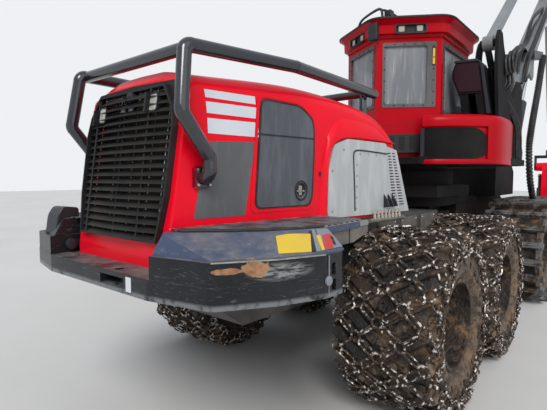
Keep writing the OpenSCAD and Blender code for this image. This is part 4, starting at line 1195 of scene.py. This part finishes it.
def plan_curve(points, inward):
    """A smooth line through points in plan, moved in towards the cab."""
    path = smooth_path([Vector((*p, 0)) for p in points], 6)
    moved = []
    for i, point in enumerate(path):
        ahead = path[min(i + 1, len(path) - 1)]
        behind = path[max(i - 1, 0)]
        way = (ahead - behind).normalized()
        moved.append((point.x - way.y * inward, point.y + way.x * inward))
    return moved


def upright_sheet(name, line, look, slot="black_paint"):
    """A thin upright face along a line in plan, given as (x, y, lower height, upper height)."""
    verts = [at(x, y, z) for x, y, low, top in line for z in (low, top)]
    faces = [(2 * i, 2 * i + 2, 2 * i + 3, 2 * i + 1) for i in range(len(line) - 1)]
    return piece(name, verts, faces, look, "turret", slot=slot)


SKIRT_SPLIT = 18


def make_skirt():
    """The rounded red skirt around the right rear corner, its black inset and bar, and the cab's black base."""
    # height, distance in from the outer line
    profile = ((1956, 34), (1950, 14), (1956, 2), (1968, 0), (1996, 0), (2006, 6), (2010, 24), (2362, 24), (2372, 8),
               (2382, 0), (2446, 0), (2476, 8), (2500, 26), (2514, 52), (2521, 90), (2524, 150), (2524, 210),
               (2504, 212), (2478, 64), (2380, 46), (2020, 46), (1966, 46))
    lines = [plan_curve(SKIRT_PLAN, d) for _, d in profile]
    verts = [at(x, y, z) for line, (z, _) in zip(lines, profile) for x, y in line]
    skirt = piece("skirt", verts, sweep_faces(len(profile), len(lines[0])), RED_CAB, "turret", slot="red_paint")
    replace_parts(skirt, "turret_skirt")
    end = [(x, y, 1990, 2388) for x, y in plan_curve(SKIRT_PLAN, 0.5)[SKIRT_SPLIT:]]
    upright_sheet("skirt_end", end, RED_CAB, "red_paint")
    inset = []
    for i, (x, y) in enumerate(plan_curve(SKIRT_PLAN, 21)[:SKIRT_SPLIT + 1]):
        rise = max(0.0, (i - SKIRT_SPLIT + 5) / 5) ** 3
        inset.append((x, y, 2008 + 50 * rise, 2366 - 90 * rise))
    upright_sheet("skirt_inset", inset, NIGHT)
    x, y = plan_curve(SKIRT_PLAN, 22)[0]
    rod("skirt_bar", [at(x, y, 2010), at(x, y, 2362)], 0.026, 8, BLACK, "turret")
    for i, (p, q) in enumerate(REAR_WALLS):
        wall = on_wall(p, q)
        length = math.dist(p, q)
        plate(f"cab_base_{i}", box_outline(0, 2100, length, 2316), wall, -4, 6, BLACK, "turret")
        plate(f"cab_base_edge_{i}", box_outline(4, 2440, length - 4, 2446), wall, -2, 2, SEAL, "turret")
        slots = [prism_data(soft_box(u, 2135, u + 65, 2290, 12), wall, 0, 11)
                 for u in range(150, 630, 120)]
        joined(f"cab_base_slots_{i}", slots, GRILLE, "turret")


def make_post_details():
    """The crane post with its box made anew, the maroon panel on it, and the hoses that hang over it."""
    post = copied("post_plates", "crane_post", NIGHT, "turret")
    side = on_y(-960, LEFT)
    cut(post, [plate("post_cut", box_outline(3900, 2550, 4690, 3600), side, 0, 300, NIGHT, "turret")])
    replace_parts(post, "crane_post")
    wall = on_wall((4200, 0), (4200, -100))
    box = [(667, 2985), (665, 3062), (705, 3176), (945, 3162), (985, 3110), (1035, 2780), (745, 2790)]
    cap = rounded([(690, 3168), (700, 3196), (950, 3184), (960, 3150)], 8)
    edge = rounded([(985, 3112), (1022, 3096), (1106, 2536), (1070, 2536)], 8)
    plate("post_box", rounded(box, 14), wall, -400, 0, NIGHT, "turret", 0.006)
    plate("post_panel", rounded(shrunk(box, 0.86, 0.88), 12), wall, -2, 8, MAROON, "turret", 0.003, slot="red_paint")
    plate("post_box_cap", cap, wall, -410, 14, BLACK, "turret", 0.004)
    for leg, outline in (("inner", [(748, 2800), (850, 2800), (862, 2530), (796, 2530)]),
                         ("outer", [(926, 2800), (1036, 2800), (1074, 2530), (972, 2530)])):
        plate(f"post_leg_{leg}", outline, wall, -390, -8, NIGHT, "turret", 0.003)
    plate("post_box_edge", edge, wall, -420, 22, BLACK, "turret", 0.004)
    route = ((4520, -860, 3000), (4430, -880, 3270), (4380, -930, 3400), (4370, -990, 3320), (4420, -1040, 3060),
             (4560, -1090, 2850), (4760, -1150, 2690), (4950, -1200, 2530), (5060, -1220, 2340), (5090, -1222, 2060))
    top = max(z for _, _, z in route)
    for i in range(5):
        drop = 18 * (i % 3)
        points = [(x + 26 * i, y - drop, z + drop if z == top else z) for x, y, z in route]
        tube(f"post_hose_{i}", points, 0.0155, HOSE, "turret")


# Crane

BOOM_FOOT = (5400, CRANE_Y, 2950)
BOOM_TIP = (8400, CRANE_Y, 5200)
# x and z of the ribbed hose, from the boom down to beside the turret
RIBBED_ROUTE = ((7000, 3760), (6849, 3509), (6646, 3164), (6400, 2820), (6190, 2500), (6084, 2205), (6255, 1762),
                (6685, 1362))
RIB_PITCH = 0.046


def make_ribbed_hose():
    """The thick ribbed hose with its block on the boom."""
    outline = [(6250, 3560), (6980, 3700), (7010, 3830), (6240, 3690)]
    plate("hose_block", outline, on_y(CRANE_Y, RIGHT), -40, 150, BLACK, "boom", 0.012)
    route = smooth_path([at(x, CRANE_Y - 150, z) for x, z in RIBBED_ROUTE], 24)
    length = sum((b - a).length for a, b in zip(route, route[1:]))
    count = 2 * int(length / RIB_PITCH)
    path, radii = [], []
    for k in range(count):
        place = k / (count - 1) * (len(route) - 1)
        i = min(int(place), len(route) - 2)
        path.append(route[i].lerp(route[i + 1], place - i))
        radii.append(0.050 if k % 2 else 0.036)
    rod("spiral_hose", path, radii, 14, HOSE, "boom")


def make_crane_details():
    """Hoses along the boom, in loops from the turret to the boom, and over the boom's foot."""
    for i in range(4):
        y = CRANE_Y - 110 - 28 * (i % 2)
        lift = 150 + 34 * i
        points = [(BOOM_FOOT[0] + 220 + 30 * i, y, BOOM_FOOT[2] + lift)]
        for share in (0.2, 0.4, 0.6, 0.8, 0.97):
            x, _, z = Vector(BOOM_FOOT).lerp(Vector(BOOM_TIP), share)
            points.append((x - 0.36 * lift, y, z + 0.64 * lift - 40))
        tube(f"boom_hose_{i}", points, 0.017, HOSE, "boom")
    for i in range(5):
        y = CRANE_Y - 128 - 24 * (i % 3)
        x, z = 4560 + 60 * i, 3130 + 26 * i
        loop = [(x + 120 * math.cos(a), y - 6 * a, z + 120 * math.sin(a)) for a in np.linspace(-1.6, 4.2, 9)]
        rise = [(x + 160, y - 20, z + 190), (5400 + 50 * i, y, 3540 + 30 * i), (6000, y, 3880 + 50 * i),
                (6560, y, 4200 + 40 * i), (7100, CRANE_Y - 110, 4560)]
        points = [(x - 60, CRANE_Y + 20, 2760), (x - 40, y, 2900), *loop, *rise]
        hose = tube(f"loop_hose_{i}", points, 0.016, HOSE, None, steps=5)
        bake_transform(hose)
    make_ribbed_hose()
    for i in range(6):
        x = 5560 + 60 * i
        y = CRANE_Y - 60 + 24 * (i % 4)
        points = [(x, y, 3060 + 30 * i), (x + 120, y, 3420 + 20 * i), (x + 330, y, 3640), (x + 620, y, 3660 + 12 * i),
                  (x + 840, y, 3640)]
        tube(f"knuckle_hose_{i}", points, 0.016, HOSE, "boom")


# Stage

FLOOR_REACH = 60


def make_stage():
    """A plain pale floor."""
    mesh = bpy.data.meshes.new("floor")
    mesh.from_pydata([(x, y, 0) for x, y in box_outline(-FLOOR_REACH, -FLOOR_REACH, FLOOR_REACH, FLOOR_REACH)], [],
                     [(0, 1, 2, 3)])
    floor = bpy.data.objects.new("floor", mesh)
    bpy.context.scene.collection.objects.link(floor)
    p = Paint("floor_pale", rough=0.9)
    base = p.mix(p.steps(p.noise(0.4), 0.3, 0.7), (0.62, 0.60, 0.57), (0.68, 0.66, 0.64))
    p.bump(p.noise(30, 4), 0.1, 0.002)
    mesh.materials.append(p.done(base))
    floor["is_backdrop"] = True


def make_light():
    """Soft studio light: a bluish sky that the camera sees paler, a key light and a fill light."""
    world = bpy.data.worlds.new("studio")
    bpy.context.scene.world = world
    world.use_nodes = True
    tree = world.node_tree
    tree.nodes.clear()
    out = tree.nodes.new("ShaderNodeOutputWorld")
    mix = tree.nodes.new("ShaderNodeMixShader")
    ray = tree.nodes.new("ShaderNodeLightPath")
    light = tree.nodes.new("ShaderNodeBackground")
    seen = tree.nodes.new("ShaderNodeBackground")
    light.inputs["Color"].default_value = (0.86, 0.92, 1.0, 1)
    light.inputs["Strength"].default_value = 0.62
    seen.inputs["Color"].default_value = (0.86, 0.88, 0.90, 1)
    tree.links.new(ray.outputs["Is Camera Ray"], mix.inputs[0])
    tree.links.new(light.outputs[0], mix.inputs[1])
    tree.links.new(seen.outputs[0], mix.inputs[2])
    tree.links.new(mix.outputs[0], out.inputs["Surface"])
    # name, strength, spread in degrees, direction the light travels
    for name, strength, spread, way in (("key", 1.7, 25, (0.75, 0.5, -0.85)), ("fill", 0.5, 60, (0.2, 0.9, -0.5))):
        lamp = bpy.data.lights.new(name, "SUN")
        lamp.energy = strength
        lamp.angle = math.radians(spread)
        holder = bpy.data.objects.new(name, lamp)
        holder.rotation_euler = Vector(way).to_track_quat("-Z", "Y").to_euler()
        bpy.context.scene.collection.objects.link(holder)


def make_camera():
    """Stands where the photographer stood: behind the right rear corner, turned left of the machine's line."""
    yaw, pitch = math.radians(39.8), math.radians(-3.65)
    focal_pixels, photo_width = 431, 547
    camera = bpy.data.cameras.new("camera")
    camera.sensor_width = 36
    camera.lens = focal_pixels / photo_width * camera.sensor_width
    camera.clip_end = 200
    holder = bpy.data.objects.new("camera", camera)
    holder.location = at(-1250, -2400, 1800)
    way = Vector((math.cos(pitch) * math.cos(yaw), math.cos(pitch) * math.sin(yaw), math.sin(pitch)))
    holder.rotation_euler = way.to_track_quat("-Z", "Y").to_euler()
    bpy.context.scene.collection.objects.link(holder)
    bpy.context.scene.camera = holder


make_camera()
make_light()
make_stage()
make_hood()
make_stripes()
make_arch()
make_side_door_details()
make_cover_details()
make_grille_details()
make_guard_details()
make_bumper_details()
make_step()
make_ledge_fittings()
make_frame_details()
for side_sign, side_name in SIDES:
    for axle in (0, 1):
        make_chain(f"chain_{side_name}_{axle + 1}", side_sign, axle)
        make_clods(side_sign, axle)
        make_rim_details(side_sign, axle)
make_track_details()
make_cab_details()
make_roof()
make_skirt()
make_post_details()
make_crane_details()

bpy.context.scene.view_settings.view_transform = "Standard"


def corners(box):
    return [list(map(float, corner)) for corner in box]


{"cad": corners(CAD_BOX), "visual": corners(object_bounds())}
